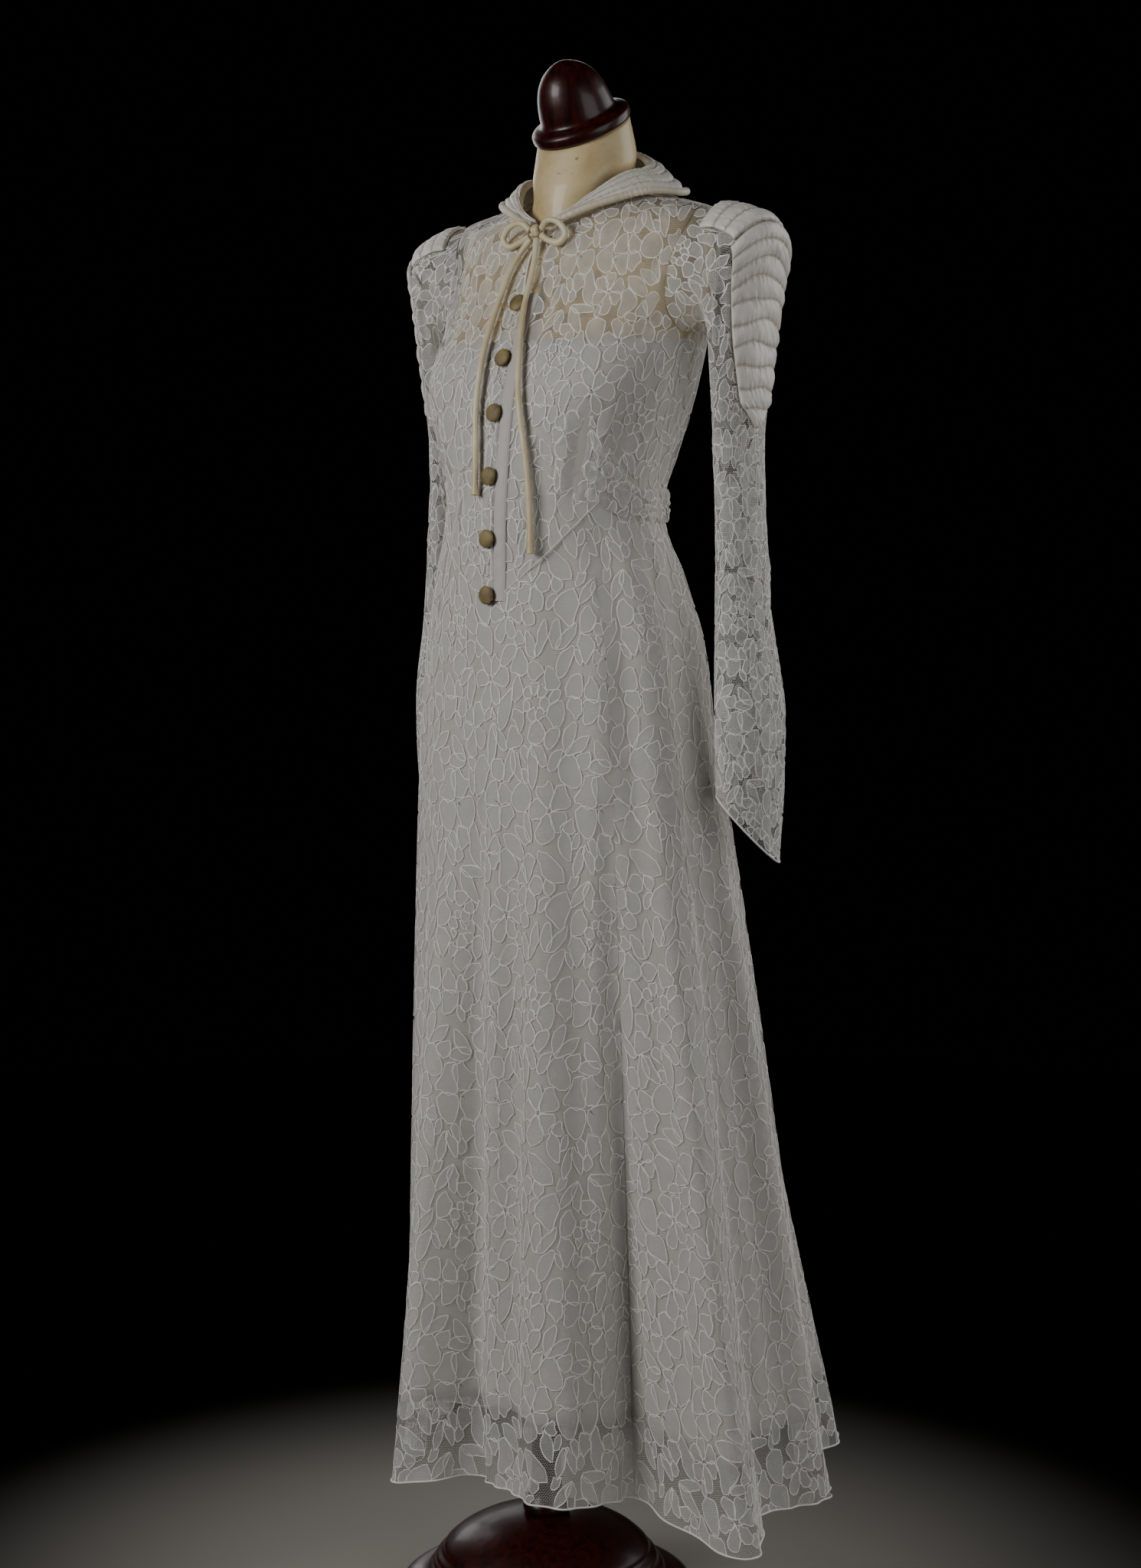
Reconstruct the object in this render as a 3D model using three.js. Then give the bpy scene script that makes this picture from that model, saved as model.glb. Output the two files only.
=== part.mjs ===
// Lace wedding dress with quilted satin collar and shoulders, standing on a limbless dress form.
// Millimetres, +Z up. The dress faces -Y, its own left side is at +X, and the stand's pole is the Z axis.
import * as THREE from "three";

// Cloth: walls and the room between layers
const LACE_WALL = 1.2;
const SLIP_WALL = 1.0;
const SLIP_INSET = 3.4;
const SATIN_WALL = 2.0;
const SEAM_GAP = 0.3;
const LAID_GAP = 0.6;

// Heights of the cut, as levels on the figure
const HIP_LEVEL = 1000;
const WAIST_POINT = 1118;
const WAIST_SIDE = 1232;
const WAIST_SIDE_ANGLE = 60;
const RIB_LEVEL = 1290;
const UNDERARM = 1406;
const NECKLINE = 1563;
const NECK_TOP = 1634;
const RISE_UNIT = 100;
const SLIP_HEM = -0.895;

// Colours
const LACE = { color: 0xd9d2c4, roughness: 0.85, metalness: 0 };
const SLIP = { color: 0xcfc6b6, roughness: 0.6, metalness: 0 };
const SATIN = { color: 0xe3dccd, roughness: 0.4, metalness: 0 };
const TIE_SATIN = { color: 0xddd0b0, roughness: 0.45, metalness: 0 };
const BUTTON_SATIN = { color: 0xa88c5e, roughness: 0.5, metalness: 0 };
const PARCHMENT = { color: 0xd6c9a8, roughness: 0.6, metalness: 0 };
const MAHOGANY = { color: 0x3a0d08, roughness: 0.2, metalness: 0 };

/** Turns rows of numbers into rows with named columns. */
function table(columns, values) {
  return values.map((row) => Object.fromEntries(columns.map((name, i) => [name, row[i]])));
}

// Sections of the dressed figure, from the hip to the top of the form's neck
const FIGURE = table(
  ["sideZ", "frontZ", "backZ", "centreY", "halfWidth", "frontDepth", "backDepth", "formInset"],
  [
    [1000, 1000, 1000, 28, 174, 126, 138, 9],
    [1080, 1080, 1080, 26, 164, 121, 132, 9],
    [1150, 1150, 1150, 20, 146, 113, 117, 9],
    [1222, 1222, 1222, 16, 128, 108, 103, 9],
    [1290, 1290, 1290, 25, 139, 110, 117, 9],
    [1350, 1350, 1350, 34, 153, 108, 127, 9],
    [1406, 1406, 1406, 44, 162, 101, 126, 9],
    [1450, 1450, 1450, 53, 168, 90, 118, 9],
    [1495, 1485, 1498, 62, 172, 84, 106, 9],
    [1541, 1511, 1556, 70, 163, 80, 80, 9],
    [1553, 1519, 1574, 70, 115, 75, 68, 8],
    [1563, 1524, 1588, 68, 66, 69, 60, 6],
    [1600, 1566, 1626, 68, 57, 59, 53, 0],
    [1634, 1607.4, 1660.4, 64, 53, 46, 46, 0],
  ],
);
const SLANT = { body: 2, neckTop: 1 };
const BUST = { level: 1352, angle: 40, rise: 20, angleSpread: 24, levelSpread: 58 };

// Rows and columns of the bodice, the skirt and the slip
const BODICE_SHARES = [0, 0.35, 0.68];
const BODICE_LEVELS = [RIB_LEVEL, 1350, UNDERARM, 1440, 1474, 1508, 1541, 1553, NECKLINE];
const FRONT_DEGREES = [0, 10, 20, 30, 40, 50, 60, 70, 79, 88];
const BACK_CELLS = 16;
const HANG_RISES = [-1, -0.7, -0.42, -0.18, 0];
const YOKE_SHARES = [0.42, 0.72, 0.9, 1];
const SLIP_LEVELS = [1090, 1160, 1200, 1229];
const SLIP_TOP_LEVELS = [1229.4, 1260, RIB_LEVEL, 1350, 1400];
const SEAM_LEAN = 1.3;

// Hem of the skirt seen from above, about a centre behind the pole: crests and valleys in turn
const HEM_CENTRE = 100;
const HEM_FOLDS = table(
  ["angle", "radius", "height"],
  [
    [-35, 205, 152],
    [-17, 276, 155],
    [-3, 202, 159],
    [30, 248, 158],
    [50, 186, 148],
    [66, 338, 126],
    [82, 252, 130],
    [105, 274, 125],
    [130, 226, 121],
    [153, 306, 118],
    [175, 236, 119],
    [196, 302, 119],
    [214, 232, 122],
    [233, 298, 125],
    [252, 224, 130],
    [270, 284, 135],
    [290, 192, 144],
    [308, 228, 148],
  ],
);
const FOLD_FADE = 0.35;
const FOLD_WINDOW = 40;
const FOLD_SAMPLES = 16;
const SKIRT_STEP = 5;
const GORES = table(
  ["name", "from", "to"],
  [
    ["skirt_front", -35, 50],
    ["skirt_left", 50, 130],
    ["skirt_back", 130, 215],
    ["skirt_right", 215, 325],
  ],
);

// Left sleeve from the armhole to the wrist; ring points run from the outer arm by way of the back
const SLEEVE = table(
  ["outerX", "outerZ", "innerX", "innerZ", "centreY", "halfDepth"],
  [
    [206, 1538, 178, 1403, 76, 50],
    [240, 1520, 180, 1397, 79, 57],
    [236, 1472, 182, 1388, 78, 53],
    [230, 1410, 183, 1370, 77, 48],
    [226, 1345, 184, 1335, 77, 43],
    [224, 1285, 185, 1285, 77, 38],
    [228, 1190, 187, 1190, 78, 38],
    [236, 1090, 187, 1090, 79, 42],
    [246, 1000, 188, 1000, 81, 49],
    [240, 920, 190, 920, 83, 47],
  ],
);
const ARMHOLE = { angle: 88, angleHalf: 25, level: 1474, levelHalf: 67, standOff: 1.4 };
const WRIST = { middle: 878, reach: 38, pointAngle: 50 };
const SLEEVE_SIDES = 14;
const SLEEVE_RINGS = [10, 9.5, 9, 8, 7, 6, 5, 4, 3, 2.5, 2, 1.5, 1, 0.5, 0];
const SLEEVE_SEAM_TURN = 0.008;
const SLEEVE_CUT = table(
  ["name", "from", "to"],
  [
    ["top_sleeve", -3, 4],
    ["under_sleeve", 4, 11],
  ],
);

// Quilted satin: ridges between stitched rows
const QUILT_RISE = 1.8;
const EPAULETTE = {
  top: 2.04,
  tip: 5.7,
  ribs: 10,
  topSpread: 58,
  tipSpread: 24,
  taper: 2.6,
  cells: 4,
  standOff: 2.2,
};
const STRIP = { rings: [1.97, 1.75, 1.5, 1.25, 1, 0.75, 0.5], columns: [-2, -1, 0, 1, 2], standOff: 0.8 };
const COLLAR = {
  opening: 7,
  cells: 26,
  ribs: 4,
  clearance: 6.5,
  neckGap: 4,
  bulge: 7,
  turnUnder: 5,
  underShare: 0.7,
  underRows: [1.5, 2],
};
const COLLAR_SHAPE = table(
  ["angle", "stand", "edgeLevel"],
  [
    [0, 3, 1562],
    [30, 9, 1561],
    [60, 17, 1557],
    [90, 23, 1555],
    [135, 28, 1551],
    [180, 30, 1549],
  ],
);
const COLLAR_CORD = { radius: 3.2, gap: 1.2, steps: 36, sides: 8 };

// Front placket and its covered buttons
const PLACKET_LEVELS = [1123, 1175, 1232, RIB_LEVEL, 1350, UNDERARM, 1450];
const PLACKET_FOLDS = table(
  ["across", "rise"],
  [
    [-12, 0],
    [-6, 0.3],
    [6, 0.3],
    [10, 1.4],
    [15, 0.3],
    [20, 1.4],
    [25, 0],
  ],
);
const PLACKET_WALL = 1.2;
const KEYHOLE = { bottom: 1452, top: 1556, half: 5 };
const BUTTON_LEVELS = [1438, 1380, 1322, 1255, 1189, 1129];
const BUTTON_STAND = 3.6;
const BUTTON_PROFILE = [
  [0, 0], [7.5, 0], [9.6, 1.4], [10, 3], [8.6, 4.6], [0, 5.4],
];
const BUTTON_SIDES = 10;

// Waist sashes, sewn in at the front seam and drawn to the back
const SASH = { front: 50, narrow: 82, back: 179.6, cells: 13, clearance: 1.6, wall: 1.3 };
const SASH_EDGES = { frontLow: 1226, frontHigh: 1291, backLow: 1206, backHigh: 1243 };
const SASH_GATHERS = [0, 1.7, 0.3, 1.7, 0];

// Rouleau tie: knot, loops and free ends
const TIE_RADIUS = 3;
const TIE_SIDES = 8;
const TIE_KNOT = { y: -16, z: 1519, radius: 6.6, flatten: 0.82, sides: 10, rows: 6 };
const TIE_LOOP_STEPS = 14;
const TIE_TAIL_STEPS = 18;
const TIE_LOOPS = {
  tie_loop_right: [
    [-8, -16, 1520], [-20, -18, 1528], [-36, -18, 1525], [-46, -17, 1513], [-38, -17, 1504],
    [-22, -17, 1508], [-8.5, -17, 1513],
  ],
  tie_loop_left: [
    [8, -16, 1521], [18, -18, 1529], [32, -17, 1526], [41, -16, 1514], [33, -17, 1505],
    [19, -18, 1508], [8.5, -17, 1514],
  ],
};
// The tails leave the knot at a point, then lie on the bodice at [mm across, level]
const TIE_LIE = 7;
const TIE_TAILS = {
  tie_tail_right: {
    start: [-2.5, -22, 1510],
    laid: [
      [-15, 1506], [-23, 1476], [-25, 1452], [-26, 1430], [-26, 1408], [-26, 1386], [-25, 1366],
      [-24, 1345], [-23, 1324], [-21, 1302], [-19, 1280], [-17, 1257], [-16, 1235],
    ],
  },
  tie_tail_left: {
    start: [5, -21, 1510],
    laid: [
      [8, 1496], [11, 1460], [13, 1434], [19, 1408], [25, 1383], [30, 1359], [35, 1334],
      [40, 1308], [45, 1281], [49, 1254], [52, 1227], [54, 1200], [55, 1173],
    ],
  },
};

// Dress form: neck cap, pole and base, turned on their axes as radius and height
const CAP_TILT = 30;
const CAP_PROFILE = [
  [0, 0], [53, 0], [56, 3], [56, 11], [52, 15], [44, 17], [42, 21], [41, 30], [38, 44], [33, 57],
  [25, 68], [15, 75], [7, 78.5], [0, 79.5],
];
const CAP_GAP = 0.6;
const POLE_PROFILE = [
  [0, 96.4], [26, 96.4], [27, 104], [20, 116], [16, 130], [16, 960], [22, 972], [22, 999],
  [0, 999],
];
const BASE_PROFILE = [
  [0, 0], [158, 0], [165, 5], [165, 14], [156, 20], [141, 23], [133, 28], [133, 35], [126, 40],
  [125, 47], [117, 53], [115, 59], [100, 72], [78, 84], [52, 92], [30, 96], [0, 96],
];
const TURNED_SIDES = 28;
const TORSO_SIDES = 28;
const TORSO_LEVELS = [
  1003, 1080, 1150, 1186, 1222, 1256, RIB_LEVEL, 1350, UNDERARM, 1450, 1495, 1541, 1553, NECKLINE, 1580,
  1600, NECK_TOP,
];

const radians = THREE.MathUtils.degToRad;
const mix = THREE.MathUtils.lerp;

/** A table's row at a value of one column, on a smooth curve through the rows. */
function sample(rows, key, at) {
  let i = 0;
  while (i < rows.length - 2 && rows[i + 1][key] < at) i += 1;
  const before = rows[Math.max(i - 1, 0)];
  const low = rows[i];
  const high = rows[i + 1];
  const after = rows[Math.min(i + 2, rows.length - 1)];
  const span = high[key] - low[key];
  const t = THREE.MathUtils.clamp((at - low[key]) / span, 0, 1);
  const row = {};
  for (const name of Object.keys(low)) {
    const slopeLow = ((high[name] - before[name]) / (high[key] - before[key])) * span;
    const slopeHigh = ((after[name] - low[name]) / (after[key] - low[key])) * span;
    const bend = low[name] * (1 + 2 * t) * (1 - t) ** 2 + high[name] * t * t * (3 - 2 * t);
    row[name] = bend + slopeLow * t * (1 - t) ** 2 - slopeHigh * t * t * (1 - t);
  }
  return row;
}

/** Even steps from one value to another, ends included. */
function steps(from, to, count) {
  return Array.from({ length: count + 1 }, (_, i) => mix(from, to, i / count));
}

/** Point of the dressed figure at an angle from the front, growing towards the dress's left. */
function figurePoint(angle, level) {
  const section = sample(FIGURE, "sideZ", level);
  const facing = Math.cos(angle);
  const depth = facing > 0 ? section.frontDepth : section.backDepth;
  const endZ = facing > 0 ? section.frontZ : section.backZ;
  const upNeck = THREE.MathUtils.clamp((level - NECKLINE) / (NECK_TOP - NECKLINE), 0, 1);
  const slant = mix(SLANT.body, SLANT.neckTop, upNeck);
  const fromFront = Math.abs(Math.atan2(Math.sin(angle), facing));
  const fromBust = (fromFront - radians(BUST.angle)) / radians(BUST.angleSpread);
  const upFromBust = (level - BUST.level) / BUST.levelSpread;
  const bust = BUST.rise * Math.exp(-fromBust * fromBust - upFromBust * upFromBust);
  const x = (section.halfWidth + bust) * Math.sin(angle);
  const y = section.centreY - (depth + bust) * facing;
  return new THREE.Vector3(x, y, mix(level, endZ, Math.abs(facing) ** slant));
}

/** Radius and height of the hem at an angle in degrees. */
function hemFold(degrees) {
  const first = HEM_FOLDS[0].angle;
  const turned = first + (((degrees - first) % 360) + 360) % 360;
  const rows = [...HEM_FOLDS, { ...HEM_FOLDS[0], angle: first + 360 }];
  const next = rows.findIndex((row, i) => i > 0 && row.angle >= turned);
  const [low, high] = [rows[next - 1], rows[next]];
  const share = (turned - low.angle) / (high.angle - low.angle);
  const ease = (1 - Math.cos(Math.PI * share)) / 2;
  return { radius: mix(low.radius, high.radius, ease), height: mix(low.height, high.height, ease) };
}

/** Radius of the hem with its folds smoothed away. */
function hemSweep(degrees) {
  const around = steps(-FOLD_WINDOW, FOLD_WINDOW, FOLD_SAMPLES);
  return around.reduce((sum, offset) => sum + hemFold(degrees + offset).radius, 0) / around.length;
}

/** Point of the dress: rise is -1 at the hem, 0 at the hip, and then hundreds of mm up the figure. */
function dressPoint(angle, rise) {
  if (rise >= 0) return figurePoint(angle, HIP_LEVEL + rise * RISE_UNIT);
  const degrees = THREE.MathUtils.radToDeg(angle);
  const fold = hemFold(degrees);
  const sweep = hemSweep(degrees);
  const radius = sweep + (fold.radius - sweep) * (-rise) ** FOLD_FADE;
  const hemX = radius * Math.sin(angle);
  const hemY = HEM_CENTRE - radius * Math.cos(angle);
  const hem = new THREE.Vector3(hemX, hemY, fold.height);
  return figurePoint(angle, HIP_LEVEL).lerp(hem, -rise);
}

/** Rise of a level on the figure. */
function riseOf(level) {
  return (level - HIP_LEVEL) / RISE_UNIT;
}

/** Level of the pointed waist seam at an angle. */
function seamLevel(angle) {
  const side = Math.abs(Math.atan2(Math.sin(angle), Math.cos(angle))) / radians(WAIST_SIDE_ANGLE);
  return mix(WAIST_POINT, WAIST_SIDE, Math.min(side, 1));
}

/** Outward direction of a surface of two parameters, the first round it and the second up it. */
function normalAt(surface, across, up) {
  const tiny = 0.004;
  const alongAcross = surface(across + tiny, up).sub(surface(across - tiny, up));
  const alongUp = surface(across, up + tiny).sub(surface(across, up - tiny));
  return alongAcross.cross(alongUp).normalize();
}

/** Closed wall over rows of [across, up] on a surface, from the inner to the outer distance off it. */
function clothWall(surface, rows, inner, outer, closesRound = false) {
  const height = rows.length;
  const width = rows[0].length;
  const positions = [];
  const sides = [inner, outer];
  for (const side of sides) {
    rows.forEach((row, r) =>
      row.forEach(([across, up], c) => {
        const off = typeof side === "function" ? side(r, c) : side;
        positions.push(...surface(across, up).addScaledVector(normalAt(surface, across, up), off));
      }),
    );
  }
  const inside = (r, c) => r * width + (c % width);
  const outside = (r, c) => height * width + inside(r, c);
  const faces = [];
  const quad = (a, b, c, d) => faces.push(a, b, c, a, c, d);
  const lastColumn = closesRound ? width : width - 1;
  for (let c = 0; c < lastColumn; c += 1) {
    for (let r = 0; r < height - 1; r += 1) {
      quad(outside(r, c), outside(r, c + 1), outside(r + 1, c + 1), outside(r + 1, c));
      quad(inside(r, c), inside(r + 1, c), inside(r + 1, c + 1), inside(r, c + 1));
    }
    quad(outside(0, c), inside(0, c), inside(0, c + 1), outside(0, c + 1));
    const top = height - 1;
    quad(outside(top, c), outside(top, c + 1), inside(top, c + 1), inside(top, c));
  }
  for (let r = 0; r < height - 1 && !closesRound; r += 1) {
    quad(outside(r, 0), outside(r + 1, 0), inside(r + 1, 0), inside(r, 0));
    const end = width - 1;
    quad(outside(r, end), inside(r, end), inside(r + 1, end), outside(r + 1, end));
  }
  return meshGeometry(positions, faces);
}

/** Geometry from a list of coordinates and a list of triangle corners. */
function meshGeometry(positions, faces) {
  const geometry = new THREE.BufferGeometry();
  geometry.setAttribute("position", new THREE.Float32BufferAttribute(positions, 3));
  geometry.setIndex(faces);
  geometry.computeVertexNormals();
  return geometry;
}

/** Closed solid through rings of points, with flat fans at both ends. */
function ringSolid(rings) {
  const width = rings[0].length;
  const positions = rings.flatMap((ring) => ring.flatMap((point) => [...point]));
  const middle = (ring) => ring.reduce((sum, p) => sum.add(p), new THREE.Vector3()).divideScalar(width);
  const low = positions.length / 3;
  positions.push(...middle(rings[0]), ...middle(rings.at(-1)));
  const faces = [];
  for (let c = 0; c < width; c += 1) {
    const next = (c + 1) % width;
    for (let r = 0; r < rings.length - 1; r += 1) {
      const [a, b] = [r * width + c, r * width + next];
      faces.push(a, b, b + width, a, b + width, a + width);
    }
    const top = (rings.length - 1) * width;
    faces.push(low, next, c, low + 1, top + c, top + next);
  }
  return meshGeometry(positions, faces);
}

/** Mirror image of a geometry in the plane between the dress's left and right. */
function mirrored(geometry) {
  const copy = geometry.clone().scale(-1, 1, 1);
  const index = [...copy.index.array];
  const flipped = [];
  for (let i = 0; i < index.length; i += 3) flipped.push(index[i], index[i + 2], index[i + 1]);
  copy.setIndex(flipped);
  copy.computeVertexNormals();
  return copy;
}

/** Turned solid from a profile of [radius, height] about +Z. */
function turned(profile, sides) {
  const points = profile.map(([radius, height]) => new THREE.Vector2(radius, height));
  return new THREE.LatheGeometry(points, sides).rotateX(Math.PI / 2);
}

/** Round cord along a smooth curve through points. */
function cord(points, radius, stepCount, sides) {
  const path = new THREE.CatmullRomCurve3(points, false, "centripetal");
  const corners = Array.from({ length: sides }, (_, i) => (2 * Math.PI * i) / sides);
  const rim = corners.map((a) => new THREE.Vector2(radius * Math.cos(a), radius * Math.sin(a)));
  const section = new THREE.Shape(rim);
  return new THREE.ExtrudeGeometry(section, { steps: stepCount, extrudePath: path });
}

const dress = new THREE.Group();

/** Adds one named piece to the dress. */
function addPiece(name, geometry, finish) {
  const piece = new THREE.Mesh(geometry, new THREE.MeshStandardMaterial(finish));
  piece.name = name;
  dress.add(piece);
  return piece;
}

/** Adds a left piece and its mirror image on the right. */
function addPair(name, geometry, finish) {
  addPiece(`${name}_left`, geometry, finish);
  addPiece(`${name}_right`, mirrored(geometry), finish);
}

/** Angle off a seam that keeps half the seam gap at a point of the dress. */
function halfGap(angle, rise) {
  const point = dressPoint(angle, rise);
  return (SEAM_LEAN * SEAM_GAP) / 2 / Math.hypot(point.x, point.y);
}

/** How far in degrees the armhole reaches from its middle line at a level. */
function armholeReach(level) {
  const share = (level - ARMHOLE.level) / (ARMHOLE.levelHalf + 1);
  return share * share < 1 ? ARMHOLE.angleHalf * Math.sqrt(1 - share * share) : 0;
}

/** Half width of the front opening at a level: a seam gap, wider at the keyhole. */
function openingHalf(level) {
  const share = (level - KEYHOLE.bottom) / (KEYHOLE.top - KEYHOLE.bottom);
  const wide = share > 0 && share < 1 ? KEYHOLE.half * Math.sin(Math.PI * share) : 0;
  return SEAM_GAP / 2 + wide;
}

/** Levels of a bodice panel's rows at an angle, from the waist seam to the neckline. */
function bodiceLevels(angle) {
  const low = seamLevel(angle);
  return [...BODICE_SHARES.map((share) => mix(low, RIB_LEVEL, share)), ...BODICE_LEVELS];
}

// Bodice fronts and back
const frontRows = bodiceLevels(0).map((_, r) =>
  FRONT_DEGREES.map((degrees) => {
    const level = bodiceLevels(radians(degrees))[r];
    const from = openingHalf(level) / sample(FIGURE, "sideZ", level).halfWidth;
    const sideGap = halfGap(radians(ARMHOLE.angle), riseOf(level));
    const to = radians(ARMHOLE.angle - armholeReach(level)) - sideGap;
    const angle = (radians(degrees) * to) / radians(ARMHOLE.angle);
    return [Math.max(angle, from), riseOf(level)];
  }),
);
addPair("bodice_front", clothWall(dressPoint, frontRows, -LACE_WALL, 0), LACE);

const backRows = bodiceLevels(Math.PI).map((level) => {
  const reach = ARMHOLE.angle + armholeReach(level);
  const gap = halfGap(radians(ARMHOLE.angle), riseOf(level));
  const from = radians(reach) + gap;
  return steps(from, 2 * Math.PI - from, BACK_CELLS).map((angle) => [angle, riseOf(level)]);
});
addPiece("bodice_back", clothWall(dressPoint, backRows, -LACE_WALL, 0), LACE);

// Skirt gores, hanging from the pointed waist seam
/** Rises of a skirt row at an angle, from the hem to the waist seam. */
function skirtRises(angle) {
  const top = riseOf(seamLevel(angle) - SEAM_GAP);
  return [...HANG_RISES, ...YOKE_SHARES.map((share) => top * share)];
}

for (const gore of GORES) {
  const count = (gore.to - gore.from) / SKIRT_STEP;
  const rows = skirtRises(0).map((_, r) =>
    steps(gore.from, gore.to, count).map((degrees, c) => {
      const angle = radians(degrees);
      const rise = skirtRises(angle)[r];
      const side = c === 0 ? 1 : c === count ? -1 : 0;
      return [angle + side * halfGap(angle, rise), rise];
    }),
  );
  addPiece(gore.name, clothWall(dressPoint, rows, -LACE_WALL, 0), LACE);
}

// Slip under the lace, open at its hem and top
const wholeTurn = steps(GORES[0].from, GORES.at(-1).to, 360 / SKIRT_STEP).slice(0, -1).map(radians);
const slipRises = [SLIP_HEM, ...HANG_RISES.slice(1), ...SLIP_LEVELS.map(riseOf)];
const slipRows = slipRises.map((rise) => wholeTurn.map((angle) => [angle, rise]));
const slipInner = -SLIP_INSET - SLIP_WALL;
addPiece("slip_skirt", clothWall(dressPoint, slipRows, slipInner, -SLIP_INSET, true), SLIP);

const slipTopRows = SLIP_TOP_LEVELS.map((level) =>
  wholeTurn.filter((_, i) => i % 2 === 0).map((angle) => [angle, riseOf(level)]),
);
addPiece("slip_top", clothWall(dressPoint, slipTopRows, slipInner, -SLIP_INSET, true), SLIP);

// Sleeves: the first ring follows the armhole, the last one the pointed wrist; each has a top and an under half
/** Point of the left sleeve at a ring angle, ring 0 at the armhole. */
function sleevePoint(turn, downRing) {
  const ring = -downRing;
  const row = sample(SLEEVE.map((values, i) => ({ ...values, ring: i + 1 })), "ring", Math.max(ring, 1));
  const outward = (1 + Math.cos(turn)) / 2;
  const x = mix(row.innerX, row.outerX, outward);
  const wristShare = THREE.MathUtils.clamp(ring - (SLEEVE.length - 1), 0, 1);
  const wristZ = WRIST.middle - WRIST.reach * Math.cos(turn - radians(WRIST.pointAngle));
  const z = mix(mix(row.innerZ, row.outerZ, outward), wristZ, wristShare);
  const point = new THREE.Vector3(x, row.centreY + row.halfDepth * Math.sin(turn), z);
  if (ring >= 1) return point;
  const angle = radians(ARMHOLE.angle + ARMHOLE.angleHalf * Math.sin(turn));
  const rise = riseOf(ARMHOLE.level + ARMHOLE.levelHalf * Math.cos(turn));
  const outside = normalAt(dressPoint, angle, rise);
  const seam = dressPoint(angle, rise).addScaledVector(outside, ARMHOLE.standOff);
  return seam.lerp(point, Math.max(ring, 0));
}

const ringStep = (2 * Math.PI) / SLEEVE_SIDES;
for (const { name, from, to } of SLEEVE_CUT) {
  const columns = steps(from * ringStep + SLEEVE_SEAM_TURN, to * ringStep - SLEEVE_SEAM_TURN, to - from);
  const rows = SLEEVE_RINGS.map((ring) => columns.map((turn) => [turn, -ring]));
  addPair(name, clothWall(sleevePoint, rows, -LACE_WALL, 0), LACE);
}

/** Quilted wall on the sleeve, with its ridges high between the stitched rows. */
function quiltedPatch(rows, standOff) {
  const outer = (row) => standOff + SATIN_WALL + (row % 2 === 1 ? QUILT_RISE : 0);
  return clothWall(sleevePoint, rows, standOff, outer);
}

const epauletteRows = steps(EPAULETTE.tip, EPAULETTE.top, EPAULETTE.ribs * 2).map((ring) => {
  const down = (ring - EPAULETTE.top) / (EPAULETTE.tip - EPAULETTE.top);
  const spread = radians(mix(EPAULETTE.topSpread, EPAULETTE.tipSpread, down ** EPAULETTE.taper));
  return steps(-spread, spread, EPAULETTE.cells).map((turn) => [turn, -ring]);
});
addPair("epaulette", quiltedPatch(epauletteRows, EPAULETTE.standOff), SATIN);

const stripRows = STRIP.rings.map((ring) => STRIP.columns.map((column) => [column * ringStep, -ring]));
addPair("shoulder_strip", quiltedPatch(stripRows, STRIP.standOff), SATIN);

// Quilted collar: it stands at the neck, rolls over and falls to a corded edge on the shoulders
/** Point of the collar's free edge, or of one beyond it by a distance. */
function collarEdge(angle, beyond = 0) {
  const shape = sample(COLLAR_SHAPE, "angle", Math.abs(THREE.MathUtils.radToDeg(angle)));
  const rise = riseOf(shape.edgeLevel);
  const outside = normalAt(dressPoint, angle, rise);
  const edge = dressPoint(angle, rise).addScaledVector(outside, COLLAR.clearance);
  return edge.add(new THREE.Vector3(Math.sin(angle) * beyond, -Math.cos(angle) * beyond, 0));
}

/** Point of the collar: up is 0 at the free edge, 1 at the roll and 2 where it turns under. */
function collarPoint(angle, up) {
  const shape = sample(COLLAR_SHAPE, "angle", Math.abs(THREE.MathUtils.radToDeg(angle)));
  const neck = dressPoint(angle, riseOf(NECKLINE));
  const away = new THREE.Vector3(Math.sin(angle), -Math.cos(angle), 0);
  const roll = neck.clone().addScaledVector(away, COLLAR.neckGap);
  roll.z += shape.stand;
  if (up > 1) {
    const under = roll.clone().addScaledVector(away, -COLLAR.neckGap * COLLAR.underShare);
    under.z -= Math.min(COLLAR.turnUnder, shape.stand);
    return roll.lerp(under, up - 1);
  }
  const point = collarEdge(angle).lerp(roll, up);
  point.z += COLLAR.bulge * Math.sin(Math.PI * up) * (shape.stand / COLLAR_SHAPE.at(-1).stand);
  return point;
}

const collarTurns = steps(radians(COLLAR.opening - 180), radians(180 - COLLAR.opening), COLLAR.cells);
const collarUps = [...steps(0, 1, COLLAR.ribs * 2), ...COLLAR.underRows];
/** Collar angle from the front for a turn counted from the back. */
const frontAngle = (turn) => (turn < 0 ? -Math.PI - turn : Math.PI - turn);
const collarSurface = (turn, up) => collarPoint(frontAngle(-turn), up);
const collarRows = collarUps.map((up) => collarTurns.map((turn) => [turn, up]));
const collarQuilt = (row) => (row % 2 === 1 && row < COLLAR.ribs * 2 ? QUILT_RISE : 0);
addPiece("collar", clothWall(collarSurface, collarRows, -SATIN_WALL, collarQuilt), SATIN);

const cordBeyond = COLLAR_CORD.radius + COLLAR_CORD.gap;
const cordPoints = collarTurns.map((turn) => collarEdge(frontAngle(-turn), cordBeyond));
const edgeCord = cord(cordPoints, COLLAR_CORD.radius, COLLAR_CORD.steps, COLLAR_CORD.sides);
addPiece("collar_cord", edgeCord, SATIN);

// Placket with pressed folds, and covered buttons on it
const placketRows = PLACKET_LEVELS.map((level) =>
  PLACKET_FOLDS.map(({ across }) => [across / sample(FIGURE, "sideZ", level).halfWidth, riseOf(level)]),
);
const placketOuter = (row, column) => LAID_GAP + PLACKET_WALL + PLACKET_FOLDS[column].rise;
addPiece("placket", clothWall(dressPoint, placketRows, LAID_GAP, placketOuter), LACE);

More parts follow.
